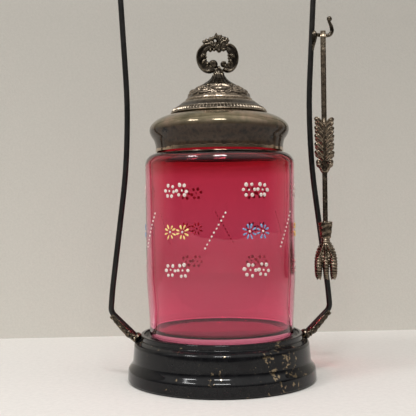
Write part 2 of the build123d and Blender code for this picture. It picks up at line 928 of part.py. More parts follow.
arm_pieces = {
    "arm": front_strip(),
    "leaf": front_leaf(),
    "cuff": front_cuff(),
    "claw": front_claw(),
}
for name, shape in arm_pieces.items():
    nodes["tongs_front_" + name] = hung(spread_out(shape))
    nodes["tongs_rear_" + name] = hung(rear(spread_out(shape)))

for name, shape in nodes.items():
    shape.label = name
    export_step(shape, "parts/" + name + ".step")
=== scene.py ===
# Pickle castor: a cranberry glass jar with a lift-off lid, in a plated stand with a wire handle
# and a pair of claw-footed tongs. Lengths in this file are millimetres until addPiece scales them.
import math
import random
import bpy
import bmesh
import numpy as np
from mathutils import Matrix, Vector, noise


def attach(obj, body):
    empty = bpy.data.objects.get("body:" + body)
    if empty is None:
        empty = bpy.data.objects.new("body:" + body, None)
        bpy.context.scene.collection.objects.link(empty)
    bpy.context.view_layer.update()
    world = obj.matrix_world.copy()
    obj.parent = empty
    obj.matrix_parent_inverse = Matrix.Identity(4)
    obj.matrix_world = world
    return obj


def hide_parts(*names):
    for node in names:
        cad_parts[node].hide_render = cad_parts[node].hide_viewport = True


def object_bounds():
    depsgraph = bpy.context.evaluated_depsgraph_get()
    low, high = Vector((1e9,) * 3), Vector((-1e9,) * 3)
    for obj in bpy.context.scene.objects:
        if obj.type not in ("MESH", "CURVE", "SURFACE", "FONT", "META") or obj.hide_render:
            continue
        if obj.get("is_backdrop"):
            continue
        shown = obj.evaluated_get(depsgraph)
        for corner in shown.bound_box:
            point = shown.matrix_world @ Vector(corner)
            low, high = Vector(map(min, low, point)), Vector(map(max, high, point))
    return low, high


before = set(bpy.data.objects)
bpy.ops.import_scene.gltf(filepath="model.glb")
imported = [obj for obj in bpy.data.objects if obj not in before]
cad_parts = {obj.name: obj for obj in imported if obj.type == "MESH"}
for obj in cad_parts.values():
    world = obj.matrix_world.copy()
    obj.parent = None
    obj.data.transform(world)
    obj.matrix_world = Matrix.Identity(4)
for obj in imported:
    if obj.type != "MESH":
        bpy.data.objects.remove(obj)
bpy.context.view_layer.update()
mm = 0.001


# Straight runs through the corners of a turned outline, with a round bend at each inner corner
def softPath(corners, bends, bits=7):
    points = [Vector(corners[0])]
    for k, bend in enumerate(bends, 1):
        corner = Vector(corners[k])
        back = (Vector(corners[k - 1]) - corner).normalized()
        ahead = (Vector(corners[k + 1]) - corner).normalized()
        half = back.angle(ahead) / 2
        centre = corner + (back + ahead).normalized() * bend / math.sin(half)
        start = corner + back * bend / math.tan(half) - centre
        end = corner + ahead * bend / math.tan(half) - centre
        for n in range(bits + 1):
            points.append(centre + start.slerp(end, n / bits).normalized() * start.length)
    points.append(Vector(corners[-1]))
    return [(p.x, p.y) for p in points]


# More points on long runs, so that ripples and dents have something to bend
def finer(outline, step):
    out = [outline[0]]
    for a, b in zip(outline, outline[1:]):
        parts = max(1, int(math.dist(a, b) / step))
        for n in range(1, parts + 1):
            out.append((a[0] + (b[0] - a[0]) * n / parts, a[1] + (b[1] - a[1]) * n / parts))
    return out


# The closed outline of a sheet whose outside follows the path upwards
def sheetOutline(path, wall):
    inside = []
    for k, p in enumerate(path):
        a, b = Vector(path[max(k - 1, 0)]), Vector(path[min(k + 1, len(path) - 1)])
        run = (b - a).normalized()
        inside.append((max(0, p[0] - run.y * wall), p[1] + run.x * wall))
    return list(path) + inside[::-1]


# Spins an outline round the jar's axis; angle 0 is the front and grows towards the tongs
def spun(outline, steps, form=None):
    outline = np.array(outline, float)
    angle = 2 * math.pi * np.arange(steps)[:, None] / steps
    radius = np.repeat(outline[None, :, 0], steps, 0)
    height = np.repeat(outline[None, :, 1], steps, 0)
    if form:
        radius, height = form(radius, height, angle + 0 * radius)
    x, y = radius * np.sin(angle), -radius * np.cos(angle)
    verts = np.stack([x, y, height], -1).reshape(-1, 3)
    n = len(outline)
    faces = []
    for i in range(steps):
        j = (i + 1) % steps
        for k in range(n):
            m = (k + 1) % n
            faces.append((i * n + k, j * n + k, j * n + m, i * n + m))
    return verts, faces


# Rows of numbers through which a smooth run passes: place and half sizes together
def flow(rows, bits=8):
    rows = np.array(rows, float)
    ext = np.vstack([2 * rows[0] - rows[1], rows, 2 * rows[-1] - rows[-2]])
    out = []
    for k in range(1, len(ext) - 2):
        a, b, c, d = ext[k - 1:k + 3]
        for t in np.arange(bits) / bits:
            out.append(0.5 * (2 * b + (c - a) * t + (2 * a - 5 * b + 4 * c - d) * t ** 2
                              + (3 * b - a - 3 * c + d) * t ** 3))
    out.append(rows[-1])
    return np.array(out)


# A bar along rows of x, y, z, half width and half depth; across is the direction of its depth
def bar(rows, across=(0, 1, 0), sides=16, section=None):
    rows = np.array(rows, float)
    place, size = rows[:, :3], np.maximum(rows[:, 3:5], 0.02)
    across = np.array(across, float)
    run = np.gradient(place, axis=0)
    run /= np.linalg.norm(run, axis=1)[:, None] + 1e-9
    wide = np.cross(run, across)
    wide /= np.linalg.norm(wide, axis=1)[:, None] + 1e-9
    deep = np.cross(wide, run)
    turn = 2 * math.pi * np.arange(sides) / sides
    ca, sa = np.cos(turn), np.sin(turn)
    verts = []
    for k in range(len(rows)):
        u, v = size[k, 0] * ca, size[k, 1] * sa
        if section:
            u, v = section(u, v, turn, k / (len(rows) - 1), size[k])
        verts.append(place[k] + u[:, None] * wide[k] + v[:, None] * deep[k])
    verts = np.vstack(verts + [place[:1], place[-1:]])
    first, last = len(verts) - 2, len(verts) - 1
    faces = []
    for k in range(len(rows) - 1):
        for s in range(sides):
            t = (s + 1) % sides
            faces.append((k * sides + s, k * sides + t, (k + 1) * sides + t, (k + 1) * sides + s))
    top = (len(rows) - 1) * sides
    for s in range(sides):
        t = (s + 1) % sides
        faces.append((first, t, s))
        faces.append((last, top + s, top + t))
    return verts, faces


# An egg with three half sizes
def blob(centre, sizes, turn=None, rings=8, segs=14):
    verts, faces = [], []
    for i in range(rings + 1):
        polar = math.pi * i / rings
        for j in range(segs):
            a = 2 * math.pi * j / segs
            ring = math.sin(polar)
            verts.append((ring * math.cos(a) * sizes[0], ring * math.sin(a) * sizes[1], math.cos(polar) * sizes[2]))
    for i in range(rings):
        for j in range(segs):
            k = (j + 1) % segs
            faces.append((i * segs + j, (i + 1) * segs + j, (i + 1) * segs + k, i * segs + k))
    verts = np.array(verts)
    if turn is not None:
        verts = verts @ np.array(turn.to_3x3()).T
    return verts + np.array(centre), faces


# A part is a pair of vertices and faces; several become one
def joined(parts):
    verts, faces, start = [], [], 0
    for v, f in parts:
        verts.append(np.asarray(v, float))
        faces += [tuple(i + start for i in face) for face in f]
        start += len(v)
    return np.vstack(verts), faces


def moved(part, matrix):
    verts, faces = part
    m = np.array(matrix)
    if np.linalg.det(m[:3, :3]) < 0:
        faces = [tuple(reversed(f)) for f in faces]
    return np.asarray(verts) @ m[:3, :3].T + m[:3, 3], faces


def makeMesh(name, part):
    verts, faces = part
    mesh = bpy.data.meshes.new(name)
    mesh.from_pydata((np.asarray(verts) * mm).tolist(), [], faces)
    bm = bmesh.new()
    bm.from_mesh(mesh)
    bmesh.ops.remove_doubles(bm, verts=bm.verts, dist=1e-6)
    bmesh.ops.dissolve_degenerate(bm, edges=bm.edges, dist=1e-7)
    bmesh.ops.recalc_face_normals(bm, faces=bm.faces)
    bm.to_mesh(mesh)
    bm.free()
    return mesh


# Melts overlapping parts into one casting with soft joins
def castTogether(name, parts, voxel, rounds=3):
    obj = bpy.data.objects.new(name + "Rough", makeMesh(name + "Rough", joined(parts)))
    bpy.context.scene.collection.objects.link(obj)
    melt = obj.modifiers.new("melt", "REMESH")
    melt.mode = "VOXEL"
    melt.voxel_size = voxel * mm
    soft = obj.modifiers.new("soft", "SMOOTH")
    soft.factor = 0.5
    soft.iterations = rounds
    done = bpy.data.meshes.new_from_object(obj.evaluated_get(bpy.context.evaluated_depsgraph_get()))
    bpy.data.objects.remove(obj)
    verts = np.empty(len(done.vertices) * 3)
    done.vertices.foreach_get("co", verts)
    faces = [tuple(p.vertices) for p in done.polygons]
    bpy.data.meshes.remove(done)
    return verts.reshape(-1, 3) / mm, faces


# Dresses the named nodes of a body with a finished mesh
def addPiece(name, part, finish, body, nodes, sharp=55):
    mesh = makeMesh(name, part)
    mesh.polygons.foreach_set("use_smooth", [True] * len(mesh.polygons))
    mesh.set_sharp_from_angle(angle=math.radians(sharp))
    mesh.materials.append(materials[finish])
    obj = bpy.data.objects.new(name, mesh)
    bpy.context.scene.collection.objects.link(obj)
    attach(obj, body)
    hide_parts(*nodes)
    return obj


def smoothNoise(points, seed):
    shift = Vector((seed, seed * 0.7, -seed))
    return np.array([noise.noise(Vector(p) + shift) for p in np.asarray(points)])


materials, slots = {}, {}  # by the finish's name


# Maps a value from one span to another, held at both ends
def mapRange(tree, source, low, high, toLow=0.0, toHigh=1.0, kind="LINEAR"):
    node = tree.nodes.new("ShaderNodeMapRange")
    node.interpolation_type = kind
    for key, value in (("From Min", low), ("From Max", high), ("To Min", toLow), ("To Max", toHigh)):
        node.inputs[key].default_value = value
    tree.links.new(source, node.inputs["Value"])
    return node.outputs["Result"]


class Finish:
    def __init__(self, name, slot):
        self.mat = bpy.data.materials.new(name)
        self.mat.use_nodes = True
        self.tree = self.mat.node_tree
        self.nodes = self.tree.nodes
        self.shader = self.nodes["Principled BSDF"]
        self.place = self.nodes.new("ShaderNodeTexCoord").outputs["Object"]
        materials[name] = self.mat
        slots[name] = slot

    def put(self, **values):
        for key, value in values.items():
            self.shader.inputs[key.replace("_", " ")].default_value = value

    def link(self, source, target):
        self.tree.links.new(source, target)

    def paint(self, source):
        self.link(source, self.shader.inputs["Base Color"])

    def rough(self, source, low, high):
        self.link(self.ramp(source, [(0.3, low), (0.7, high)]), self.shader.inputs["Roughness"])

    # Where share is 1, the other shader shows
    def either(self, share, other):
        node = self.nodes.new("ShaderNodeMixShader")
        self.link(share, node.inputs[0])
        self.link(self.shader.outputs[0], node.inputs[1])
        self.link(other.outputs[0], node.inputs[2])
        self.link(node.outputs[0], self.nodes["Material Output"].inputs["Surface"])

    # Noise whose grains are about the given size in millimetres
    def grain(self, size, detail=3.0, rough=0.55, stretch=(1, 1, 1)):
        scaled = self.nodes.new("ShaderNodeMapping")
        scaled.inputs["Scale"].default_value = stretch
        self.link(self.place, scaled.inputs["Vector"])
        tex = self.nodes.new("ShaderNodeTexNoise")
        tex.inputs["Scale"].default_value = 1 / (size * mm)
        tex.inputs["Detail"].default_value = detail
        tex.inputs["Roughness"].default_value = rough
        self.link(scaled.outputs["Vector"], tex.inputs["Vector"])
        return tex.outputs["Fac"]

    def ramp(self, source, stops):
        node = self.nodes.new("ShaderNodeValToRGB")
        ramp = node.color_ramp
        while len(ramp.elements) < len(stops):
            ramp.elements.new(0.5)
        for element, (at, colour) in zip(ramp.elements, stops):
            element.position = at
            element.color = (*colour, 1) if isinstance(colour, tuple) else (colour, colour, colour, 1)
        self.link(source, node.inputs["Fac"])
        return node.outputs["Color"]

    def blend(self, share, a, b, mode="MIX"):
        node = self.nodes.new("ShaderNodeMix")
        node.data_type = "RGBA"
        node.blend_type = mode
        for value, socket in ((share, node.inputs[0]), (a, node.inputs[6]), (b, node.inputs[7])):
            if isinstance(value, bpy.types.NodeSocket):
                self.link(value, socket)
            elif isinstance(value, tuple):
                socket.default_value = (*value, 1)
            else:
                socket.default_value = value
        return node.outputs[2]

    def sums(self, a, b, kind="ADD", clamp=False):
        node = self.nodes.new("ShaderNodeMath")
        node.operation = kind
        node.use_clamp = clamp
        for value, socket in ((a, node.inputs[0]), (b, node.inputs[1])):
            if isinstance(value, bpy.types.NodeSocket):
                self.link(value, socket)
            else:
                socket.default_value = value
        return node.outputs[0]

    # How high a point stands above its surroundings, from 0 in a hollow to 1 on an edge
    def edges(self, low, high):
        shape = self.nodes.new("ShaderNodeNewGeometry").outputs["Pointiness"]
        return self.ramp(shape, [(low, 0.0), (high, 1.0)])

    def height(self):
        node = self.nodes.new("ShaderNodeSeparateXYZ")
        self.link(self.place, node.inputs["Vector"])
        return node.outputs["Z"]

    def dents(self, source, depth, strength=1.0):
        node = self.nodes.new("ShaderNodeBump")
        node.inputs["Strength"].default_value = strength
        node.inputs["Distance"].default_value = depth * mm
        self.link(source, node.inputs["Height"])
        self.link(node.outputs["Normal"], self.shader.inputs["Normal"])


# Tarnished plate: a glossy black film with a bloom on it. Where it is rubbed bare is up to the piece
def tarnishedPlate(name, look):
    f = Finish(name, "dark_silver")
    black, haze = look["film"]
    bloom = f.ramp(f.grain(look["bloomSize"], 5, 0.62), [(0.3, black), (0.55, haze), (0.75, black)])
    f.put(IOR=1.33)
    f.dents(f.grain(2.6, 3, 0.5), 0.02, 0.25)
    f.rough(f.grain(3.5, 4, 0.6), look["gloss"], look["gloss"] + 0.07)
    return f, bloom


# Cast or stamped plate: black in the hollows and rubbed on the high points
def castPlate(name, hollow, body, rubbed, low, high, gloss, slot="worn_silver"):
    f = Finish(name, slot)
    raised = f.edges(low, high)
    mottled = f.ramp(f.grain(2.6, 4, 0.6), [(0.3, hollow), (0.62, body)])
    patches = f.ramp(f.grain(1.3, 3, 0.6), [(0.3, 0.35), (0.6, 1.0)])
    f.paint(f.blend(f.sums(raised, patches, "MULTIPLY", True), mottled, rubbed))
    f.put(Metallic=1.0)
    f.rough(f.grain(1.8, 3), gloss, gloss + 0.15)
    f.dents(f.grain(1.1, 2, 0.5), 0.03, 0.35)


standLook = {
    "film": ((0.002, 0.002, 0.003), (0.008, 0.008, 0.009)), "bloomSize": 8, "gloss": 0.05, "bare": (0.26, 0.20, 0.13),
    # in metres: most of the wear is near this spot, in front and a little towards the tongs
    "wornSpot": (0.030, -0.043, 0.014), "wornReach": (0.026, 0.006), "wornMore": (-0.03, 0.065), "wornFrom": 0.365,
}
f, bloom = tarnishedPlate("standPlate", standLook)
away = f.nodes.new("ShaderNodeVectorMath")
away.operation = "DISTANCE"
away.inputs[1].default_value = standLook["wornSpot"]
f.link(f.place, away.inputs[0])
near = mapRange(f.tree, away.outputs["Value"], *standLook["wornReach"], *standLook["wornMore"], "SMOOTHSTEP")
cloud = f.sums(f.sums(f.grain(6, 5, 0.62), f.grain(1.8, 3), "MULTIPLY"), near, "ADD")
wear = f.ramp(cloud, [(standLook["wornFrom"], 0.0), (standLook["wornFrom"] + 0.02, 1.0)])
f.paint(f.blend(wear, bloom, standLook["bare"]))
f.link(wear, f.shader.inputs["Metallic"])

# The lid is browner on its shoulder, and rubbed bare in a ragged line along the bottom of the skirt
lidLook = {
    "film": ((0.006, 0.006, 0.006), (0.050, 0.033, 0.022)), "bloomSize": 5, "gloss": 0.07, "bare": (0.50, 0.37, 0.26),
    # shoulder and hem are heights in metres
    "brown": [(0.34, (0.15, 0.13, 0.075)), (0.5, (0.27, 0.225, 0.14)), (0.64, (0.42, 0.31, 0.22))],
    "wornFrom": 0.42, "shoulder": (0.1445, 0.1500), "hem": (0.1358, 0.1328), "hemFrom": 0.24,
}
f, bloom = tarnishedPlate("lidPlate", lidLook)
cloud = f.sums(f.grain(8.5, 6, 0.7), f.grain(1.3, 3), "MULTIPLY")
wear = f.ramp(cloud, [(lidLook["wornFrom"], 0.0), (lidLook["wornFrom"] + 0.03, 1.0)])
top = mapRange(f.tree, f.height(), *lidLook["shoulder"])
brown = f.ramp(f.grain(9, 4, 0.6), lidLook["brown"])
hem = f.sums(mapRange(f.tree, f.height(), *lidLook["hem"]), f.grain(3.2, 4, 0.6, (1, 1, 0.3)), "MULTIPLY")
ragged = f.ramp(hem, [(lidLook["hemFrom"], 0.0), (lidLook["hemFrom"] + 0.04, 1.0)])
skin = f.blend(top, bloom, brown)
f.paint(f.blend(ragged, f.blend(wear, skin, brown), lidLook["bare"]))
metal = f.sums(f.sums(ragged, wear, "ADD", True), f.sums(top, 0.9, "MULTIPLY"), "MAXIMUM")
f.link(metal, f.shader.inputs["Metallic"])

castLooks = {
    # hollow, body and rubbed colour, where rubbing starts and ends, roughness
    "stampedPlate": ((0.014, 0.010, 0.008), (0.13, 0.10, 0.072), (0.66, 0.54, 0.42), 0.485, 0.56, 0.16),
    "beadPlate": ((0.020, 0.015, 0.011), (0.085, 0.068, 0.05), (0.50, 0.42, 0.33), 0.50, 0.57, 0.24),
    "castPlate": ((0.012, 0.010, 0.009), (0.075, 0.062, 0.048), (0.50, 0.41, 0.29), 0.50, 0.60, 0.16),
    "tongsPlate": ((0.016, 0.011, 0.008), (0.13, 0.098, 0.07), (0.66, 0.54, 0.40), 0.495, 0.585, 0.17),
    # near black: partly tarnish, partly painted shade on the dish under the jar and the collar inside the lid
    "tarnishAndShadePlate": ((0.004, 0.003, 0.003), (0.012, 0.010, 0.010), (0.06, 0.055, 0.05), 0.50, 0.62, 0.20, "pale_silver"),
}
for name, look in castLooks.items():
    castPlate(name, *look)

f = Finish("wirePlate", "black_silver")
f.paint(f.ramp(f.grain(6, 4), [(0.35, (0.003, 0.003, 0.003)), (0.7, (0.012, 0.010, 0.009))]))
f.put(IOR=1.4)
f.rough(f.grain(2), 0.28, 0.42)
f.dents(f.grain(0.8, 3), 0.02, 0.4)

f = Finish("threadBrass", "brass_thread")
f.paint(f.ramp(f.grain(1.5, 4), [(0.3, (0.30, 0.20, 0.08)), (0.7, (0.60, 0.44, 0.20))]))
f.put(Metallic=1.0)
f.rough(f.grain(0.8), 0.28, 0.45)

enamelLooks = {
    # slot, and the colour where it is thin and thick
    "whiteEnamel": ("white_enamel", (0.58, 0.45, 0.42), (0.80, 0.73, 0.68)),
    "yellowEnamel": ("yellow_enamel", (0.72, 0.42, 0.10), (0.93, 0.74, 0.30)),
    "blueEnamel": ("blue_enamel", (0.10, 0.16, 0.34), (0.26, 0.42, 0.66)),
}
for name, (slot, thin, thick) in enamelLooks.items():
    f = Finish(name, slot)
    f.paint(f.ramp(f.grain(1.1, 4, 0.6), [(0.32, thin), (0.6, thick)]))
    f.rough(f.grain(0.6), 0.28, 0.5)
    f.dents(f.grain(0.35, 2), 0.03, 0.5)

# Gold-ruby glass: the wall's colour changes with height, and its darkest stops, at the shoulder and neck, are painted
# shade where the dark lid shows through; lamps shine through it
glass = {
    "tintAndShoulderShade": [(0.0, (0.98, 0.28, 0.45)), (0.25, (0.83, 0.23, 0.355)), (0.5, (0.92, 0.285, 0.42)),
             # the last two stops are painted shade over the shoulder and neck
             (0.80, (0.96, 0.24, 0.37)), (0.90, (0.62, 0.06, 0.09)), (1.0, (0.45, 0.05, 0.07))],
    # heights in metres
    "span": (0.038, 0.138), "ior": 1.5, "shadow": (0.80, 0.30, 0.38),
}
f = Finish("cranberryGlass", "cranberry_glass")
f.paint(f.ramp(mapRange(f.tree, f.height(), *glass["span"]), glass["tintAndShoulderShade"]))
f.put(Transmission_Weight=1.0, IOR=glass["ior"], Roughness=0.0)
f.dents(f.grain(16, 1, 0.4, (1, 1, 0.35)), 0.25, 0.35)
clear = f.nodes.new("ShaderNodeBsdfTransparent")
clear.inputs["Color"].default_value = (*glass["shadow"], 1)
f.either(f.nodes.new("ShaderNodeLightPath").outputs["Is Shadow Ray"], clear)
print("finishes ready")

stand = {
    "corners": [(51.0, 0), (53.6, 0), (54.95, 1.3), (54.6, 7.6), (51.9, 11.0), (51.0, 22.2), (47.2, 24.0),
                (47.2, 27.0), (45.4, 27.0)],
    "bends": [0.6, 0.8, 3.4, 5.0, 2.6, 0.9, 0.6],
    "wall": 0.9, "unevenness": 0.10, "seed": 3.1, "steps": 200,
}


# A little out of round, as hammered and buffed plate is, so that reflections waver
def uneven(amount, seed, rise=0.045):
    def form(radius, height, angle):
        x, y = np.sin(angle), np.cos(angle)
        flat = np.stack([x * 2.2, y * 2.2, height * rise], -1).reshape(-1, 3)
        near = np.clip(radius / 8, 0, 1)  # nothing moves at the axis
        return radius + near * amount * smoothNoise(flat, seed).reshape(radius.shape), height
    return form


path = finer(softPath(stand["corners"], stand["bends"]), 2.0)
shell = spun(sheetOutline(path, stand["wall"]), stand["steps"], uneven(stand["unevenness"], stand["seed"]))
addPiece("standShell", shell, "standPlate", "stand", ["base_shell"])

dish = {"corners": [(46.25, 26.05), (44.1, 26.05), (43.4, 24.95), (0, 24.95)], "bends": [0.4, 0.4], "wall": 0.8}
path = softPath(dish["corners"], dish["bends"], 4)
# the dish under the jar is painted near black, partly as shade
addPiece("seatDish", spun(sheetOutline(path, dish["wall"]), 160), "tarnishAndShadePlate", "stand", ["seat_dish"])
print("stand ready")

jar = {
    "outside": [(39.4, 25.15), (42.0, 25.15), (42.0, 34.0), (43.5, 58.0), (43.5, 130.6), (36.1, 131.8),
                (36.1, 143.8), (34.9, 143.8)],
    "outsideBends": [2.6, 30, 60, 6.6, 2.2, 0.8],
    "inside": [(0, 28.75), (39.4, 28.75), (39.4, 34.0), (40.9, 58.0), (40.9, 128.0), (33.8, 129.2), (33.8, 143.8)],
    "insideBends": [2.6, 30, 60, 4.0, 2.2],
    "foot": 25.15, "radius": 43.5, "ripple": 0.10, "seed": 8.3, "steps": 220,
}
outside = finer(softPath(jar["outside"], jar["outsideBends"]), 3.0)
inside = finer(softPath(jar["inside"], jar["insideBends"]), 3.0)
loop = [(0, jar["foot"])] + outside + inside[::-1]
blown = spun(loop, jar["steps"], uneven(jar["ripple"], jar["seed"], 0.02))
addPiece("glassJar", blown, "cranberryGlass", "jar", ["glass_jar"], sharp=80)

enamelWork = {
    "rise": 0.45, "gap": 0.02, "clusters": 6, "firstAngle": 22.2, "pairGap": 8.2,
    "whiteRows": (109.2, 66.0), "whiteRing": 3.15, "whiteDots": 6, "whiteDot": (0.92, 1.16),
    "middleRow": 86.8, "petalRing": 2.9, "petals": 8, "petalLong": (1.15, 1.5), "petalWide": (0.6, 0.85),
    "lineDots": 10, "lineRise": 18.9, "lineRun": 11.2, "lineAngle": -30.0, "lineHeight": 87.5,
    "lineDotLong": (0.5, 0.68), "lineDotWide": (0.45, 0.6),
}
draw = random.Random(41)


# One drop of enamel on the glass, with long and wide half sizes, turned, and narrow at one end if asked
def drop(angle, height, long, wide, turn=0.0, narrow=0.0):
    sides, rise, lean = 12, enamelWork["rise"] * draw.uniform(0.8, 1.0), draw.uniform(0, 6.28)
    rings = [(1.0, 0.0), (0.98, 0.5), (0.82, 0.85), (0.5, 1.0), (0.001, 1.02)]
    place = jar["radius"] + enamelWork["gap"]
    wobble = [draw.uniform(0.9, 1.08) for _ in range(sides)]
    verts = []
    for share, lift in [(0.001, 0.0)] + rings:
        for s in range(sides):
            a = 2 * math.pi * s / sides
            reach = share * wobble[s]
            u = long * math.cos(a) * reach
            v = wide * math.sin(a) * reach * (1 - narrow * 0.5 * (1 - math.cos(a)))
            across = u * math.sin(turn) + v * math.cos(turn)
            up = u * math.cos(turn) - v * math.sin(turn)
            w = place + rise * lift * (1 + 0.12 * math.cos(a - lean) * share)
            spot = math.radians(angle) + across / jar["radius"]
            verts.append((w * math.sin(spot), -w * math.cos(spot), height + up))
    faces = []
    for k in range(len(rings)):
        for s in range(sides):
            t = (s + 1) % sides
            faces.append((k * sides + s, (k + 1) * sides + s, (k + 1) * sides + t, k * sides + t))
    return np.array(verts), faces


def sway(size):
    return draw.uniform(-size, size)


def degrees(arc):
    return math.degrees(arc / jar["radius"])


# A drop that lies off the middle of its flower, out along the given turn
def onRing(angle, height, ring, turn, long, wide, narrow=0.0):
    return drop(angle + degrees(ring * math.sin(turn)), height + ring * math.cos(turn), long, wide, turn, narrow)


work = enamelWork
clusterAngles = [work["firstAngle"] + 60 * n for n in range(work["clusters"])]
flowers = [(angle, side, n) for n, angle in enumerate(clusterAngles) for side in (-1, 1)]
whites, yellows, blues, centres, lines = [], [], [], [], []
for middle, side, n in flowers:
    angle = middle + side * degrees(work["pairGap"] / 2)
    for height in work["whiteRows"]:
        spin = draw.uniform(0.25, 0.8)
        whites.append(drop(angle + degrees(sway(0.2)), height + sway(0.2), 0.62, 0.55, sway(1)))
        for k in range(work["whiteDots"]):
            turn = 2 * math.pi * k / work["whiteDots"] + spin + sway(0.16)
            ring = work["whiteRing"] * draw.uniform(0.92, 1.08)
            size = draw.uniform(*work["whiteDot"])
            whites.append(onRing(angle, height, ring, turn, size, size * draw.uniform(0.9, 1.0)))
    petals = blues if n % 2 == 0 else yellows
    centres.append(drop(angle, work["middleRow"], 0.7, 0.65))
    for k in range(work["petals"]):
        turn = 2 * math.pi * (k + 0.5) / work["petals"] + sway(0.08)
        ring = work["petalRing"] * draw.uniform(0.94, 1.06)
        long, wide = draw.uniform(*work["petalLong"]), draw.uniform(*work["petalWide"])
        petals.append(onRing(angle, work["middleRow"], ring, turn, long, wide, 0.6))
for clusterAngle in clusterAngles:
    for k in range(work["lineDots"]):
        share = k / (work["lineDots"] - 1) - 0.5
        angle = clusterAngle + work["lineAngle"] + degrees(work["lineRun"] * share)
        angle += degrees(sway(0.12))
        long, wide = draw.uniform(*work["lineDotLong"]), draw.uniform(*work["lineDotWide"])
        lines.append(drop(angle, work["lineHeight"] + work["lineRise"] * share, long, wide, 0.5))
for name, drops, finish, node in (
    ("enamelWhiteFlowers", whites, "whiteEnamel", "enamel_white_flowers"),
    ("enamelYellowFlowers", yellows, "yellowEnamel", "enamel_yellow_flowers"),
    ("enamelBlueFlowers", blues, "blueEnamel", "enamel_blue_flowers"),
    ("enamelFlowerCentres", centres, "whiteEnamel", "enamel_flower_centres"),
    ("enamelDottedLines", lines, "whiteEnamel", "enamel_dotted_lines"),
):
    addPiece(name, joined(drops), finish, "jar", [node])
print("jar and enamel ready")

lid = {
    "outline": [(37.5, 132.6), (37.35, 134.4), (37.3, 135.9), (37.6, 137.6), (38.3, 139.6), (39.4, 141.3),
                (40.25, 142.9), (40.74, 144.6), (40.7, 146.2), (40.05, 147.9), (38.6, 149.6), (36.4, 151.2),
                (33.6, 152.6), (30.4, 153.6), (27.6, 154.2), (25.2, 155.6), (22.9, 158.5), (21.1, 160.6),
                (19.4, 161.5), (17.5, 161.9)],
    "wall": 0.8, "unevenness": 0.10, "seed": 5.7, "steps": 240,
}
path = [tuple(p) for p in flow(lid["outline"], 5)]
shell = spun(sheetOutline(path, lid["wall"]), lid["steps"], uneven(lid["unevenness"], lid["seed"], 0.09))
addPiece("lidShell", shell, "lidPlate", "lid", ["lid_shell"])

# The band: a rim, a sloping row of ribs, a lip and a plain ledge
band = {
    "outline": [(25.6, 155.3), (26.9, 154.72), (28.0, 154.62), (28.36, 154.8), (28.42, 155.1), (28.3, 155.4),
                (28.0, 155.52), (27.9, 155.7), (27.86, 155.95), (27.72, 156.25), (27.5, 156.6), (27.22, 156.95),
                (26.98, 157.22), (26.8, 157.4), (26.7, 157.55), (26.62, 157.8), (26.4, 157.95), (26.1, 157.98),
                (25.8, 158.1), (24.4, 159.1), (22.8, 160.3), (21.5, 161.4), (21.3, 161.3), (22.6, 159.6)],
    "ribs": 88, "depth": 0.85, "swell": 0.16, "low": 155.55, "high": 157.55, "inner": 26.5, "slope": (0.78, 0.62),
}


def ribbed(radius, height, angle):
    share = np.clip((height - band["low"]) / (band["high"] - band["low"]), 0, 1)
    near = np.sin(math.pi * share) ** 0.5 * (radius > band["inner"])
    wave = np.abs(np.cos(angle * band["ribs"] / 2))
    cut = wave ** 1.6 * near * band["depth"] - band["swell"] * near * (1 - wave)
    return radius - band["slope"][0] * cut, height - band["slope"][1] * cut


addPiece("lidBeadBand", spun(band["outline"], band["ribs"] * 10, ribbed), "beadPlate", "lid", ["lid_bead_band"])

dome = {
    "sphere": 23.1, "centre": 150.5, "edge": 18.8, "wall": 0.8, "hole": 1.62, "steps": 640,
    "rim": [(17.6, 161.95), (19.3, 161.7), (19.62, 161.9), (19.68, 162.5), (19.6, 163.1), (19.3, 163.5),
            (18.9, 163.62)],
    "relief": 0.8, "plainBelow": 163.93, "plainInside": 11.2,
    # places in millimetres sideways from the middle of each quarter and up from the dome's edge
    "boss": (4.9, 3.6, 2.1, 1.9), "frame": (5.2, 5.6, 3.5),
    "leaves": [
        ([(5.2, 2.2), (7.6, 1.6), (10.4, 2.0), (13.0, 3.4), (15.0, 5.6)], 0.85),
        ([(5.6, 9.6), (7.4, 10.8), (8.4, 12.2)], 1.0),
        ([(0.0, 9.2), (0.0, 11.6)], 1.0),
        ([(2.8, 9.4), (3.4, 11.6)], 0.8),
        ([(11.0, 10.4), (11.8, 12.0)], 0.9),
    ],
}


# Distance from points to a drawn line, both in millimetres on the dome's skin
def fromLine(u, v, line):
    line = np.array(line, float)
    best = np.full(u.shape, 1e9)
    for a, b in zip(line, line[1:]):
        d = b - a
        t = np.clip(((u - a[0]) * d[0] + (v - a[1]) * d[1]) / (d @ d), 0, 1)
        best = np.minimum(best, np.hypot(u - a[0] - t * d[0], v - a[1] - t * d[1]))
    return best


def spiral(u0, v0, start, turns, wide, narrow, way=1, count=26):
    out = []
    for k in range(count):
        share = k / (count - 1)
        a = start + way * turns * 2 * math.pi * share
        r = wide * (1 - share) + narrow * share
        out.append((u0 + r * math.cos(a), v0 + r * math.sin(a)))
    return out


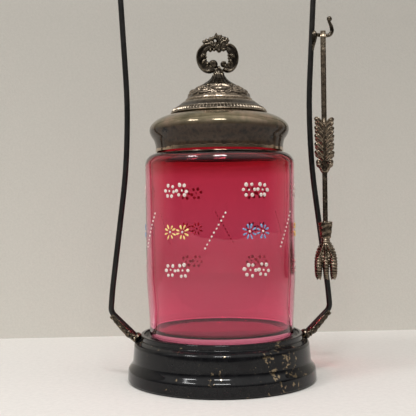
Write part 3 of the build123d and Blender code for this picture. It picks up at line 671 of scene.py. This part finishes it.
# Stamped scrollwork, the same in each quarter: an oval boss in its frame, paired scrolls and leaves
def domeRelief(radius, angle):
    polar = np.arcsin(np.clip(radius / dome["sphere"], 0, 1))
    v = (math.asin(dome["edge"] / dome["sphere"]) - polar) * dome["sphere"]
    quarter = (angle + math.pi / 4) % (math.pi / 2) - math.pi / 4
    u = np.abs(quarter) * (radius * 0.5 + 7.0)
    lift = np.zeros(u.shape)

    def ridge(distance, width, height):
        return height * np.exp(-(distance / width) ** 2)

    up, wide, tall = dome["frame"]
    lift += ridge((np.hypot(u / wide, (v - up) / tall) - 1) * 3.6, 0.6, 1.0)
    up, wide, tall, proud = dome["boss"]
    lift += proud * np.sqrt(np.clip(1 - np.hypot(u / wide, (v - up) / tall) ** 2, 0, 1))
    scrolls = [
        (spiral(10.0, 6.0, 2.6, 1.1, 2.9, 0.9), 0.95),
        (spiral(14.0, 8.0, -2.0, 1.0, 2.4, 0.8, -1), 0.9),
    ] + dome["leaves"]
    for line, width in scrolls:
        lift = np.maximum(lift, ridge(fromLine(u, v, line), width, 1.0))
    grain = smoothNoise(np.stack([u * 0.5, v * 0.5, 3 + 0 * u], -1).reshape(-1, 3), 4.4)
    lift += 0.12 * np.abs(grain.reshape(u.shape))
    border = 1.6 + 0.5 * np.cos(16 * angle)
    lift *= np.clip((v - border) / 0.5, 0.0, 1)
    lift += ridge(v - border, 0.45, 0.6) * np.clip(v, 0, 1)
    return lift * np.clip((radius - dome["plainInside"]) / 0.8, 0, 1)


def stamped(radius, height, angle):
    outer = np.abs(np.hypot(radius, height - dome["centre"]) - dome["sphere"]) < 0.03
    lift = np.where(outer & (height > dome["plainBelow"]), domeRelief(radius, angle), 0) * dome["relief"]
    nx, nz = radius / dome["sphere"], (height - dome["centre"]) / dome["sphere"]
    return radius + nx * lift, height + nz * lift


ball, low, high = dome["sphere"], math.asin(dome["edge"] / dome["sphere"]), math.asin(dome["hole"] / dome["sphere"])
arc = [(ball * math.sin(a), dome["centre"] + ball * math.cos(a)) for a in np.linspace(low, high, 96)]
within = ball - dome["wall"]
inner = [(r * within / ball, dome["centre"] + (z - dome["centre"]) * within / ball) for r, z in arc[::-4]]
addPiece("lidDome", spun(dome["rim"] + arc + inner, dome["steps"], stamped), "stampedPlate", "lid", ["lid_dome"])
print("lid ready")

flare = {
    "outline": [(10.9, 170.75), (11.1, 171.05), (10.7, 171.5), (9.3, 172.3), (7.3, 173.5), (5.6, 174.8), (4.5, 176.1),
                (3.7, 177.4), (3.25, 178.4), (1.62, 178.4), (1.62, 172.9), (6.0, 172.2), (10.4, 170.7)],
    "leaves": 12, "depth": 0.2, "edgeDepth": 1.2,
}


# Long leaves lie down the flare and their tips make its edge wavy
def leafy(radius, height, angle):
    out = (radius > 2.9) & (height > 170.85)
    rib = np.abs(np.sin(angle * flare["leaves"] / 2))
    vein = np.exp(-((np.mod(angle * flare["leaves"] / (2 * math.pi) + 0.5, 1) - 0.5) / 0.09) ** 2)
    spread = np.clip((radius - 6) / 4.2, 0, 1)
    cut = flare["depth"] * (1 - rib ** 0.6) * radius * 0.55 + flare["edgeDepth"] * spread * (1 - rib) ** 2
    radius = np.where(out, radius - cut + 0.12 * vein * spread, radius)
    return radius, np.where(out, height + 0.3 * vein * spread - 0.25 * (1 - rib) * spread, height)


addPiece("finialFlare", spun(finer(flare["outline"], 0.4), 360, leafy), "castPlate", "lid", ["finial_collar"])

finial = {
    # x, z, half width, half depth
    "left": [(-2.2, 193.6, 1.2, 2.0), (-4.0, 194.6, 1.7, 2.2), (-6.6, 194.3, 2.2, 2.5), (-8.6, 192.7, 2.6, 2.8),
             (-9.9, 190.3, 2.8, 2.9), (-10.2, 187.4, 2.8, 3.0), (-9.4, 184.5, 2.8, 2.9), (-7.5, 182.1, 2.8, 2.8),
             (-4.9, 181.2, 2.6, 2.7), (-2.6, 182.0, 2.1, 2.7)],
    "right": [(3.2, 193.4, 1.5, 2.0), (5.2, 194.2, 2.3, 2.4), (7.3, 193.0, 2.9, 2.8), (8.7, 190.6, 3.0, 3.0),
              (9.1, 187.6, 3.0, 3.0), (8.6, 184.7, 2.9, 2.9), (7.0, 182.3, 2.8, 2.8), (4.9, 181.4, 2.4, 2.7),
              (3.0, 182.2, 1.7, 2.6)],
    "neck": [(0, 177.8, 3.25, 3.25), (0.1, 179.2, 2.9, 2.9), (0.2, 180.8, 2.2, 2.5), (0.3, 182.4, 0.9, 2.0),
             (0.5, 183.0, 0.4, 1.6)],
    "volutes": [(-3.0, 184.0, 2.75, 1), (3.1, 184.1, 1.95, -1)],
    # x, z and size of the lobes that fringe the opening
    "lobes": [(-7.6, 190.0, 0.9), (-7.3, 188.3, 0.8), (-7.4, 186.6, 0.8), (-6.5, 185.0, 0.9), (-4.6, 192.4, 1.2),
              (-2.4, 192.6, 1.0), (0.5, 192.3, 1.5), (3.2, 192.6, 1.1), (6.2, 189.4, 0.9), (6.2, 187.6, 0.8),
              (6.4, 185.8, 0.8)],
    # x, z and size of the lobes of the pierced crest
    "crest": [(-7.9, 197.1, 1.2), (-8.6, 197.5, 0.75), (-6.3, 197.4, 1.4), (-6.9, 198.5, 0.75), (-4.4, 198.4, 1.5),
              (-4.6, 199.5, 0.6), (-3.6, 196.6, 1.4), (-1.3, 200.0, 1.4), (-1.1, 201.3, 0.85), (-1.0, 202.0, 0.6),
              (0.5, 198.9, 1.4), (1.4, 200.2, 1.2), (3.2, 199.0, 1.5), (-2.9, 199.4, 1.1), (0.2, 200.6, 0.9),
              (-0.2, 197.6, 0.9), (2.8, 195.2, 1.9), (4.4, 197.6, 1.3), (-3.0, 194.6, 1.6), (1.4, 198.0, 1.4),
              (3.0, 199.9, 0.6), (5.0, 198.5, 1.25), (5.6, 199.2, 0.7), (5.9, 198.0, 0.9), (2.8, 197.2, 1.6),
              (0.9, 196.4, 1.5), (-1.7, 196.0, 1.3), (-0.3, 199.3, 1.3), (-3.1, 198.2, 0.8), (2.0, 201.0, 0.5),
              (4.2, 200.0, 0.5), (0.0, 193.2, 1.6), (2.4, 193.4, 1.5), (-1.4, 193.6, 1.4), (-5.2, 196.2, 1.4),
              (0.4, 194.4, 1.9), (-2.0, 194.8, 1.4), (4.8, 196.6, 1.3)],
    # x, z and tilt of the leaves that fill each scroll
    "scallops": [(-8.9, 188.9, 0.5), (-8.6, 185.4, 0.9), (-6.6, 183.6, 1.3), (8.2, 188.6, 2.6), (7.4, 185.2, 2.2),
                 (6.0, 183.4, 1.8)],
    # raised lines on the crest: the points, the size and how far they stand out
    "lines": [([(-4.4, 195.2), (-2.9, 196.2), (-2.9, 198.2), (-4.4, 199.0)], 0.4, 1.5),
              ([(-0.9, 194.2), (0.2, 195.8), (0.0, 198.0), (-0.9, 200.6)], 0.45, 1.7),
              ([(1.9, 193.2), (1.6, 195.2), (2.6, 197.2), (4.6, 197.6)], 0.45, 1.9)],
    "voxel": 0.16,
}


def grooved(u, v, turn, share, size):
    dip = 0.26 * np.exp(-(np.cos(turn) / 0.45) ** 2)
    return u, v * (1 - dip)


# A raised line that winds on both faces of the finial, at the given depth
def scrollLines(points, size, depth):
    return [bar(flow([(x, face * depth, z, size, size) for x, z in points], 4), sides=8) for face in (-1, 1)]


parts = []
for side in ("left", "right"):
    rows = flow([(x, 0, z, a, b) for x, z, a, b in finial[side]], 7)
    parts.append(bar(rows, section=grooved, sides=24))
    rim = []
    for k in range(2, len(rows) - 2, 4):  # a rolled edge runs round the outside
        x, _, z, a, b = rows[k]
        out = Vector((x, z - 188)).normalized()
        rim.append((x + out.x * a * 0.72, z + out.y * a * 0.72))
    parts += scrollLines(rim, 0.62, 1.9)
for x, z, size, way in finial["volutes"]:
    parts.append(blob((x, 0, z), (size, 2.5, size), rings=12, segs=20))
    turns = []
    for k in range(10):
        a, r = 4.2 - k * 0.55, size * (0.80 - 0.065 * k)
        turns.append((x + way * r * math.cos(a), z + r * math.sin(a)))
    parts += scrollLines(turns, 0.42, 2.2)
for x, z, tilt in finial["scallops"]:
    for face in (-1, 1):
        turn = Matrix.Rotation(-tilt, 3, "Y")
        parts.append(blob((x, face * 2.3, z), (1.7, 0.8, 0.75), turn))
for x, z, size in finial["lobes"]:
    parts.append(blob((x, 0, z), (size, 1.9, size)))
for x, z, size in finial["crest"]:
    parts.append(blob((x, 0, z), (size, 0.9 + 0.55 * size, size)))
for line in finial["lines"]:
    parts += scrollLines(*line)
parts.append(bar(flow([(x, 0, z, a, b) for x, z, a, b in finial["neck"]], 6)))
for x in (-1.5, -0.5, 0.6, 1.6):
    parts += scrollLines([(x * 1.9, 177.9), (x * 1.3, 179.6), (x * 0.7, 181.4)], 0.4, 2.35)
ring = castTogether("finialRing", parts, finial["voxel"], 2)
addPiece("finialRing", ring, "castPlate", "lid", ["finial_ring"])
print("finial ready")

handle = {
    "end": (49.9, 25.5), "elbow": (64.4, 40.0), "wire": 1.65, "scallops": 5, "firstScallop": 4.6, "scallopPitch": 3.1,
    # x, height, half width, half depth
    "leaf": [(0.7, -1.6, 2.9, 2.7), (0.9, 1.6, 3.0, 2.4), (1.1, 5, 2.9, 2.1), (1.1, 11, 2.5, 1.9), (0.9, 16, 1.9, 1.5),
             (0.7, 19.0, 0.9, 0.7)],
    "midrib": [(3.1, 1.5, 0.5), (3.4, 6, 0.5), (3.0, 12, 0.45), (2.2, 17.5, 0.35)],
    "voxel": 0.2,
}
run = Vector((handle["elbow"][0] - handle["end"][0], 0, handle["elbow"][1] - handle["end"][1])).normalized()
outward = Vector((run.z, 0, -run.x))
along = Matrix((outward, run.cross(outward), run)).transposed().to_4x4()
along.translation = Vector((handle["end"][0], 0, handle["end"][1]))

# In the leaf's own frame X faces down and outwards, Y is across and Z runs up the wire
parts = [bar(flow([(x, 0, z, a, b) for x, z, a, b in handle["leaf"]], 6), across=(1, 0, 0))]
for n in range(handle["scallops"]):
    size = 1 - 0.13 * n
    z = handle["firstScallop"] + handle["scallopPitch"] * n
    for side in (-1, 1):
        tilt = Matrix.Rotation(0.35, 3, "Y")
        parts.append(blob((1.7, side * 1.9 * size, z), (2.1 * size, 1.35 * size, 2.1), tilt))
        edge = [(3.0, side * 0.35, z - 2.6, 0.4, 0.4), (3.55 * size, side * 1.1 * size, z - 0.8, 0.5, 0.5),
                (3.3 * size, side * 2.2 * size, z + 0.8, 0.4, 0.4)]
        parts.append(bar(flow(edge, 4), across=(0, 0.3, 1), sides=8))
parts.append(bar(flow([(x, 0, z, r, r) for x, z, r in handle["midrib"]], 5), across=(0, 1, 0), sides=8))
parts.append(blob((0.2, 0, -0.6), (3.3, 3.3, 2.6)))
for side in (-1, 1):
    curl = []
    for k in range(10):
        a, r = k * 0.7, 1.9 - 0.17 * k
        curl.append((1.0 + r * math.cos(a), side * 2.9, 0.6 + r * math.sin(a), 0.42, 0.5))
    parts.append(bar(flow(curl, 3), sides=8))
leaf = castTogether("leaf", parts, handle["voxel"])
# The casting keeps clear of the wire, above its lowest part
verts = np.asarray(leaf[0])
away = np.hypot(verts[:, 0], verts[:, 1])
clearance = handle["wire"] + 0.1
push = np.where((away < clearance) & (verts[:, 2] > 3), clearance / np.maximum(away, 1e-6), 1.0)
outX = np.where(push > 1, np.abs(verts[:, 0]) * push, verts[:, 0])
leaf = moved((np.column_stack([outX, verts[:, 1] * push, verts[:, 2]]), leaf[1]), along)
addPiece("handleLeafRight", leaf, "castPlate", "stand", ["handle_leaf_right"])
leftLeaf = moved(leaf, Matrix.Scale(-1, 4, (1, 0, 0)))
addPiece("handleLeafLeft", leftLeaf, "castPlate", "stand", ["handle_leaf_left"])

hook = {
    # x, z, radius
    "arm": [(58.0, 201.6, 1.1), (60.5, 201.4, 1.15), (63.6, 201.0, 1.1), (66.4, 201.6, 1.15), (67.7, 203.6, 1.2),
            (67.5, 206.0, 1.15), (66.8, 208.0, 1.0), (66.1, 209.6, 0.9), (66.3, 211.0, 0.9)],
    "ball": (66.3, 211.0, 1.6),
    # x, z, half depth and half width of the blade behind the hook
    "blade": [(54.9, 189.4, 0.4, 0.5), (55.6, 192.0, 0.8, 1.3), (56.2, 195.5, 1.3, 2.1), (56.7, 199.0, 1.8, 2.5),
              (56.9, 201.8, 1.9, 2.4), (56.6, 203.6, 1.2, 1.6), (56.2, 204.4, 0.4, 0.6)],
    "vein": [(57.0, 192.6), (57.9, 196.0), (58.9, 199.4), (59.1, 201.4)],
    "armVoxel": 0.16, "bladeVoxel": 0.2,
}
arm = bar(flow([(x, 0, z, r, r) for x, z, r in hook["arm"]], 8), sides=18)
ball = blob((hook["ball"][0], 0, hook["ball"][1]), (hook["ball"][2],) * 3, rings=12, segs=20)
arm = castTogether("hookArm", [arm, ball], hook["armVoxel"], 4)
addPiece("hookArm", arm, "castPlate", "stand", ["hook_arm"])

parts = [bar(flow([(x, 0, z, a, b) for x, z, a, b in hook["blade"]], 6), sides=18)]
parts.append(bar(flow([(x - 0.6, 0, z, 0.5, 0.5) for x, z in hook["vein"]], 5), sides=8))
for side in (-1, 1):
    edge = [(x + 0.3 * a, side * b * 0.85, z, 0.4, 0.4) for x, z, a, b in hook["blade"][1:6]]
    parts.append(bar(flow(edge, 5), sides=8))
addPiece("hookPlate", castTogether("hookPlate", parts, hook["bladeVoxel"]), "castPlate", "stand", ["hook_plate"])
print("handle ready")

# Heights are above the table, and half sizes are in millimetres
tongs = {
    "x": 62.4, "pivot": (62.4, -4.9, 193.0), "turn": -12.0, "spread": 4.5,
    "bow": 4.9, "bowFoot": 193.2, "bowHeight": 198.6, "half": 1.6, "thick": 0.7, "taper": 0.12, "length": 110,
    # y, height and half sizes of the leaf's middle rib
    "rib": [(-1.0, 119.4, 1.4, 0.8), (-1.3, 124, 1.5, 0.9), (-1.4, 135, 1.5, 1.0), (-1.3, 146, 1.2, 0.9),
            (-0.9, 150.5, 0.6, 0.6)],
    "leafBottom": 125.3, "pairs": 5, "pitch": 4.85,
    # x, y, rise and half sizes of one leaflet, and x, y and rise of its rolled edge
    "leaflet": [(0.3, -1.4, -3.0, 0.5, 0.6), (1.3, -1.9, -1.8, 0.8, 0.9), (2.4, -2.4, -0.5, 1.15, 1.1),
                (3.5, -2.5, 0.6, 1.45, 1.25), (4.4, -2.2, 1.1, 1.5, 1.2), (5.1, -1.6, 0.8, 1.1, 0.9)],
    "leafletEdge": [(1.0, -2.6, -1.2), (2.0, -3.3, 0.4), (3.2, -3.5, 1.7), (4.6, -3.0, 2.2), (5.6, -2.2, 1.5)],
    "volute": 125.0,
    "stem": [(0.9, -1.0, 119.6, 0.6, 0.6), (1.8, -1.4, 121.4, 0.85, 0.8), (2.8, -1.6, 123.4, 0.9, 0.8)],
    # height, half width and half depth
    "cuff": [(90.5, 3.0, 2.0), (90.35, 3.8, 2.6), (89.4, 3.95, 2.7), (87.8, 3.8, 2.6), (86.0, 3.65, 2.5),
             (84.0, 3.4, 2.4), (82.4, 3.1, 2.3), (81.4, 3.0, 2.25), (81.2, 2.6, 1.9)],
    "hand": [(81.3, 2.45, 1.8), (80.0, 2.4, 1.8), (78.6, 2.6, 1.9), (76.6, 3.7, 2.1), (74.4, 4.9, 2.3),
             (72.2, 5.7, 2.4), (70.0, 6.2, 2.4), (68.0, 6.2, 2.2), (66.2, 5.2, 1.4)],
    # x, y and height, and for the toes half sizes
    "tendon": [(1.0, -1.9, 77.5), (2.4, -2.4, 74.0), (4.0, -2.3, 70.5)],
    "toe": [(3.8, -0.3, 71.0, 2.2, 2.1), (4.2, -1.2, 67.4, 2.35, 2.3), (4.3, -1.2, 63.8, 2.3, 2.2),
            (4.3, -0.4, 60.6, 2.0, 2.0), (4.1, 0.9, 58.4, 1.4, 1.5)],
    "middleToe": 0.8,
    "nail": [(0.2, 60.0, 0.85, 0.7), (1.0, 58.4, 0.65, 0.5), (1.6, 57.2, 0.15, 0.15)],
    "clawTop": 81.12, "leafVoxel": 0.17, "clawVoxel": 0.16,
}
swing = Matrix.Translation(tongs["pivot"]) @ Matrix.Rotation(math.radians(-tongs["spread"]), 4, "X")
centre = Vector((tongs["x"], 0, 0))
turned = Matrix.Rotation(math.radians(tongs["turn"]), 4, "Z")
hung = Matrix.Translation(centre) @ turned @ Matrix.Translation(-centre)
mirror = Matrix.Scale(-1, 4, (0, 1, 0))
flat = (1, 0, 0)  # the strips' depth lies along X


def below(height):
    return height - tongs["pivot"][2]


def reeded(u, v, turn, share, size):
    side = np.sign(np.cos(turn)) * np.abs(np.cos(turn)) ** 0.55 * size[0]
    deep = np.sign(np.sin(turn)) * np.abs(np.sin(turn)) ** 0.55 * size[1]
    groove = 0.22 * np.abs(np.cos(3 * math.pi * deep / (2 * size[1])))
    return side - np.sign(side) * groove * (np.abs(side) > 0.5 * size[0]), deep


x, wide, foot = tongs["x"], tongs["bow"], tongs["bowFoot"]
arch = [(x, -wide * math.cos(a), tongs["bowHeight"] + wide * math.sin(a)) for a in np.linspace(0, math.pi, 25)]
bowRows = [(*p, tongs["thick"], tongs["half"]) for p in [(x, -wide, foot)] + arch + [(x, wide, foot)]]
bow = bar(bowRows, across=flat, sides=32, section=reeded)
addPiece("tongsBow", moved(bow, hung), "tongsPlate", "tongs", ["tongs_bow"])

strip = []
for k in range(tongs["length"] + 1):
    half = tongs["half"] * (1 - tongs["taper"] * k / tongs["length"])
    strip.append((0, 0, -0.15 - 1.0 * k, tongs["thick"], half))
arms = {"arm": bar(strip, across=flat, sides=32, section=reeded)}

parts = [bar(flow([(0, y, below(z), a, b) for y, z, a, b in tongs["rib"]], 5), across=(0, 1, 0))]
for n in range(tongs["pairs"]):
    z = below(tongs["leafBottom"]) + tongs["pitch"] * (n + 0.72)
    for side in (-1, 1):
        z1 = z + 0.7 * (side < 0) + sway(0.25)
        parts.append(bar(flow([(side * x, y, z1 + up, a, b) for x, y, up, a, b in tongs["leaflet"]], 6), sides=20))
        edge = [(side * x, y, z1 + up, 0.36, 0.36) for x, y, up in tongs["leafletEdge"]]
        parts.append(bar(flow(edge, 4), sides=8))
volute = below(tongs["volute"])
for side in (-1, 1):
    parts.append(blob((side * 3.3, -1.7, volute), (1.85, 1.0, 2.0)))
    parts.append(blob((side * 3.4, -2.7, volute), (0.75, 0.6, 0.75)))
    ring = [(side * 3.3 + 1.35 * math.cos(a), -2.35, volute + 1.45 * math.sin(a), 0.36, 0.36)
            for a in np.linspace(0, 2 * math.pi, 13)]
    parts.append(bar(flow(ring, 2), sides=8))
    stem = [(side * x, y, below(z), a, b) for x, y, z, a, b in tongs["stem"]]
    parts.append(bar(flow(stem, 4), sides=10))
arms["leaf"] = castTogether("tongsLeaf", parts, tongs["leafVoxel"], 2)


def ruffled(u, v, turn, share, size):
    ripple = 0.02 * np.sin(share * 26 + 1.2 * np.sin(turn * 3))
    flareOut = 1 + 0.09 * np.cos(9 * turn) * abs(2 * share - 1) ** 2 + ripple
    return u * flareOut, v * flareOut


cuff = [(0, 0, below(z), b, a) for z, a, b in tongs["cuff"]]
arms["cuff"] = bar(flow(cuff, 6), across=flat, sides=54, section=ruffled)


def scaly(u, v, turn, share, size):
    ring = 1 + 0.07 * np.sin(share * 60 + 2.2 * np.cos(turn))
    return u * ring, v * ring


hand = [(0, 0, below(z), b, a) for z, a, b in tongs["hand"]]
parts = [bar(flow(hand, 8), across=flat, sides=40, section=scaly)]
for side in (-1, 0, 1):
    wide = 1.0 if side else tongs["middleToe"]
    tendon = [(side * x, y, below(z), 0.9, 0.8) for x, y, z in tongs["tendon"]]
    parts.append(bar(flow(tendon, 6), across=flat, sides=12))
    rows = flow([(side * x, y, below(z), a * wide, b * wide) for x, y, z, a, b in tongs["toe"]], 10)
    for k in range(len(rows)):
        rows[k, 3:5] *= 1 + 0.075 * math.sin(k * 1.57)  # rings of scales
    parts.append(bar(rows, across=flat, sides=18))
    for nail in (-1, 1):
        x = side * tongs["toe"][-1][0] + nail * 0.9
        parts.append(bar(flow([(x, y, below(z), a, b) for y, z, a, b in tongs["nail"]], 5), across=flat, sides=10))
verts, faces = castTogether("tongsClaw", parts, tongs["clawVoxel"], 1)
# The claw ends flat under its cuff
arms["claw"] = (np.column_stack([verts[:, 0], verts[:, 1], np.minimum(verts[:, 2], below(tongs["clawTop"]))]), faces)

for piece, part in arms.items():
    front = moved(part, swing)
    for side, half in (("front", front), ("rear", moved(front, mirror))):
        name = "tongs" + side.capitalize() + piece.capitalize()
        addPiece(name, moved(half, hung), "tongsPlate", "tongs_" + side, ["tongs_%s_%s" % (side, piece)])
print("tongs ready")

# Plain turned and bent pieces keep their drawn shape and take a finish
# the collar inside the lid takes the near-black plate, partly as painted shade
kept = {"handle_wire": "wirePlate", "lid_inner_collar": "tarnishAndShadePlate", "finial_stud": "threadBrass",
        "finial_washer": "threadBrass", "finial_nut": "threadBrass"}
for node, finish in kept.items():
    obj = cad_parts[node]
    obj.data.materials.clear()
    obj.data.materials.append(materials[finish])

# Metres from here on
room = {
    "wallAt": 0.163, "width": 3.0, "near": -2.2, "top": 1.8, "sunk": -0.01, "shadeFade": 0.25,
    # the wall is painted darker towards its top: painted shade
    "table": (0.76, 0.735, 0.705), "wallLow": (0.66, 0.635, 0.58), "wallHighShaded": (0.475, 0.455, 0.415),
    # grain size and depth in millimetres
    "tableGrain": (3.0, 0.1), "wallGrain": (1.6, 0.2),
}


# A plain sheet whose colour changes with height; on the wall the darkening upwards is painted shade
def backdrop(name, corners, low, high, grainSize, depth):
    mesh = bpy.data.meshes.new(name)
    mesh.from_pydata(corners, [], [(0, 1, 2, 3)])
    obj = bpy.data.objects.new(name, mesh)
    bpy.context.scene.collection.objects.link(obj)
    f = Finish(name, "none")
    speckle = f.ramp(f.grain(grainSize, 4, 0.7), [(0.35, 0.93), (0.65, 1.0)])
    shade = f.blend(mapRange(f.tree, f.height(), 0, room["shadeFade"]), low, high)
    f.paint(f.blend(1.0, shade, speckle, "MULTIPLY"))
    f.put(Roughness=0.8, Specular_IOR_Level=0.2)
    f.dents(f.grain(grainSize, 5, 0.7), depth, 0.6)
    # Seen from behind it is clear, so that it doesn't hide the back of the castor
    f.either(f.nodes.new("ShaderNodeNewGeometry").outputs["Backfacing"], f.nodes.new("ShaderNodeBsdfTransparent"))
    mesh.materials.append(f.mat)
    obj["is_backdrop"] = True


w, y0, y1 = room["width"], room["near"], room["wallAt"]
floorCorners = [(-w, y0, 0), (w, y0, 0), (w, y1, 0), (-w, y1, 0)]
wallCorners = [(x, y1, z) for x, z in ((-w, room["sunk"]), (w, room["sunk"]), (w, room["top"]), (-w, room["top"]))]
backdrop("tableTop", floorCorners, room["table"], room["table"], *room["tableGrain"])
backdrop("wall", wallCorners, room["wallLow"], room["wallHighShaded"], *room["wallGrain"])

# The room is dim behind the camera and bright overhead
world = bpy.data.worlds.new("studio")
bpy.context.scene.world = world
world.use_nodes = True
tree = world.node_tree
way = tree.nodes.new("ShaderNodeSeparateXYZ")
tree.links.new(tree.nodes.new("ShaderNodeTexCoord").outputs["Generated"], way.inputs["Vector"])
light = {"overhead": (0.15, 0.75, 0.05, 1.05), "behind": (-0.35, 0.25, 0.0, 0.45), "colour": (1.0, 0.985, 0.95)}
up = mapRange(tree, way.outputs["Z"], *light["overhead"], "SMOOTHSTEP")
back = mapRange(tree, way.outputs["Y"], *light["behind"])
level = tree.nodes.new("ShaderNodeMath")
level.operation = "MAXIMUM"
tree.links.new(up, level.inputs[0])
tree.links.new(back, level.inputs[1])
tree.links.new(level.outputs[0], tree.nodes["Background"].inputs["Strength"])
tree.nodes["Background"].inputs["Color"].default_value = (*light["colour"], 1)

lamps = [
    # name, place, aim, width, height, power
    ("keyLamp", (-0.05, -0.75, 0.98), (0, 0, 0.10), 0.32, 0.13, 5.5),
    ("sideLamp", (-0.60, -0.42, 0.85), (0, 0, 0.10), 0.24, 0.12, 2.6),
]
for name, place, aim, wide, high, power in lamps:
    data = bpy.data.lights.new(name, "AREA")
    data.shape = "RECTANGLE"
    data.size, data.size_y, data.energy = wide, high, power
    obj = bpy.data.objects.new(name, data)
    obj.location = place
    obj.rotation_euler = (Vector(aim) - Vector(place)).to_track_quat("-Z", "Y").to_euler()
    bpy.context.scene.collection.objects.link(obj)

# Metres and degrees
view = {"distance": 0.458, "height": 0.098, "azimuth": 4.3, "yaw": -3.411, "tilt": 0.22, "roll": 0.7, "lens": 67.5}
camera = bpy.data.objects.new("camera", bpy.data.cameras.new("camera"))
camera.data.lens = view["lens"]
camera.data.sensor_width = 36
camera.data.clip_start = 0.01
side = math.radians(view["azimuth"])
camera.location = (-view["distance"] * math.sin(side), -view["distance"] * math.cos(side), view["height"])
camera.rotation_euler = (math.radians(90 + view["tilt"]), math.radians(view["roll"]), math.radians(view["yaw"]))
bpy.context.scene.collection.objects.link(camera)
bpy.context.scene.camera = camera
bpy.context.scene.view_settings.view_transform = "Standard"

low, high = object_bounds()
print("scene ready")
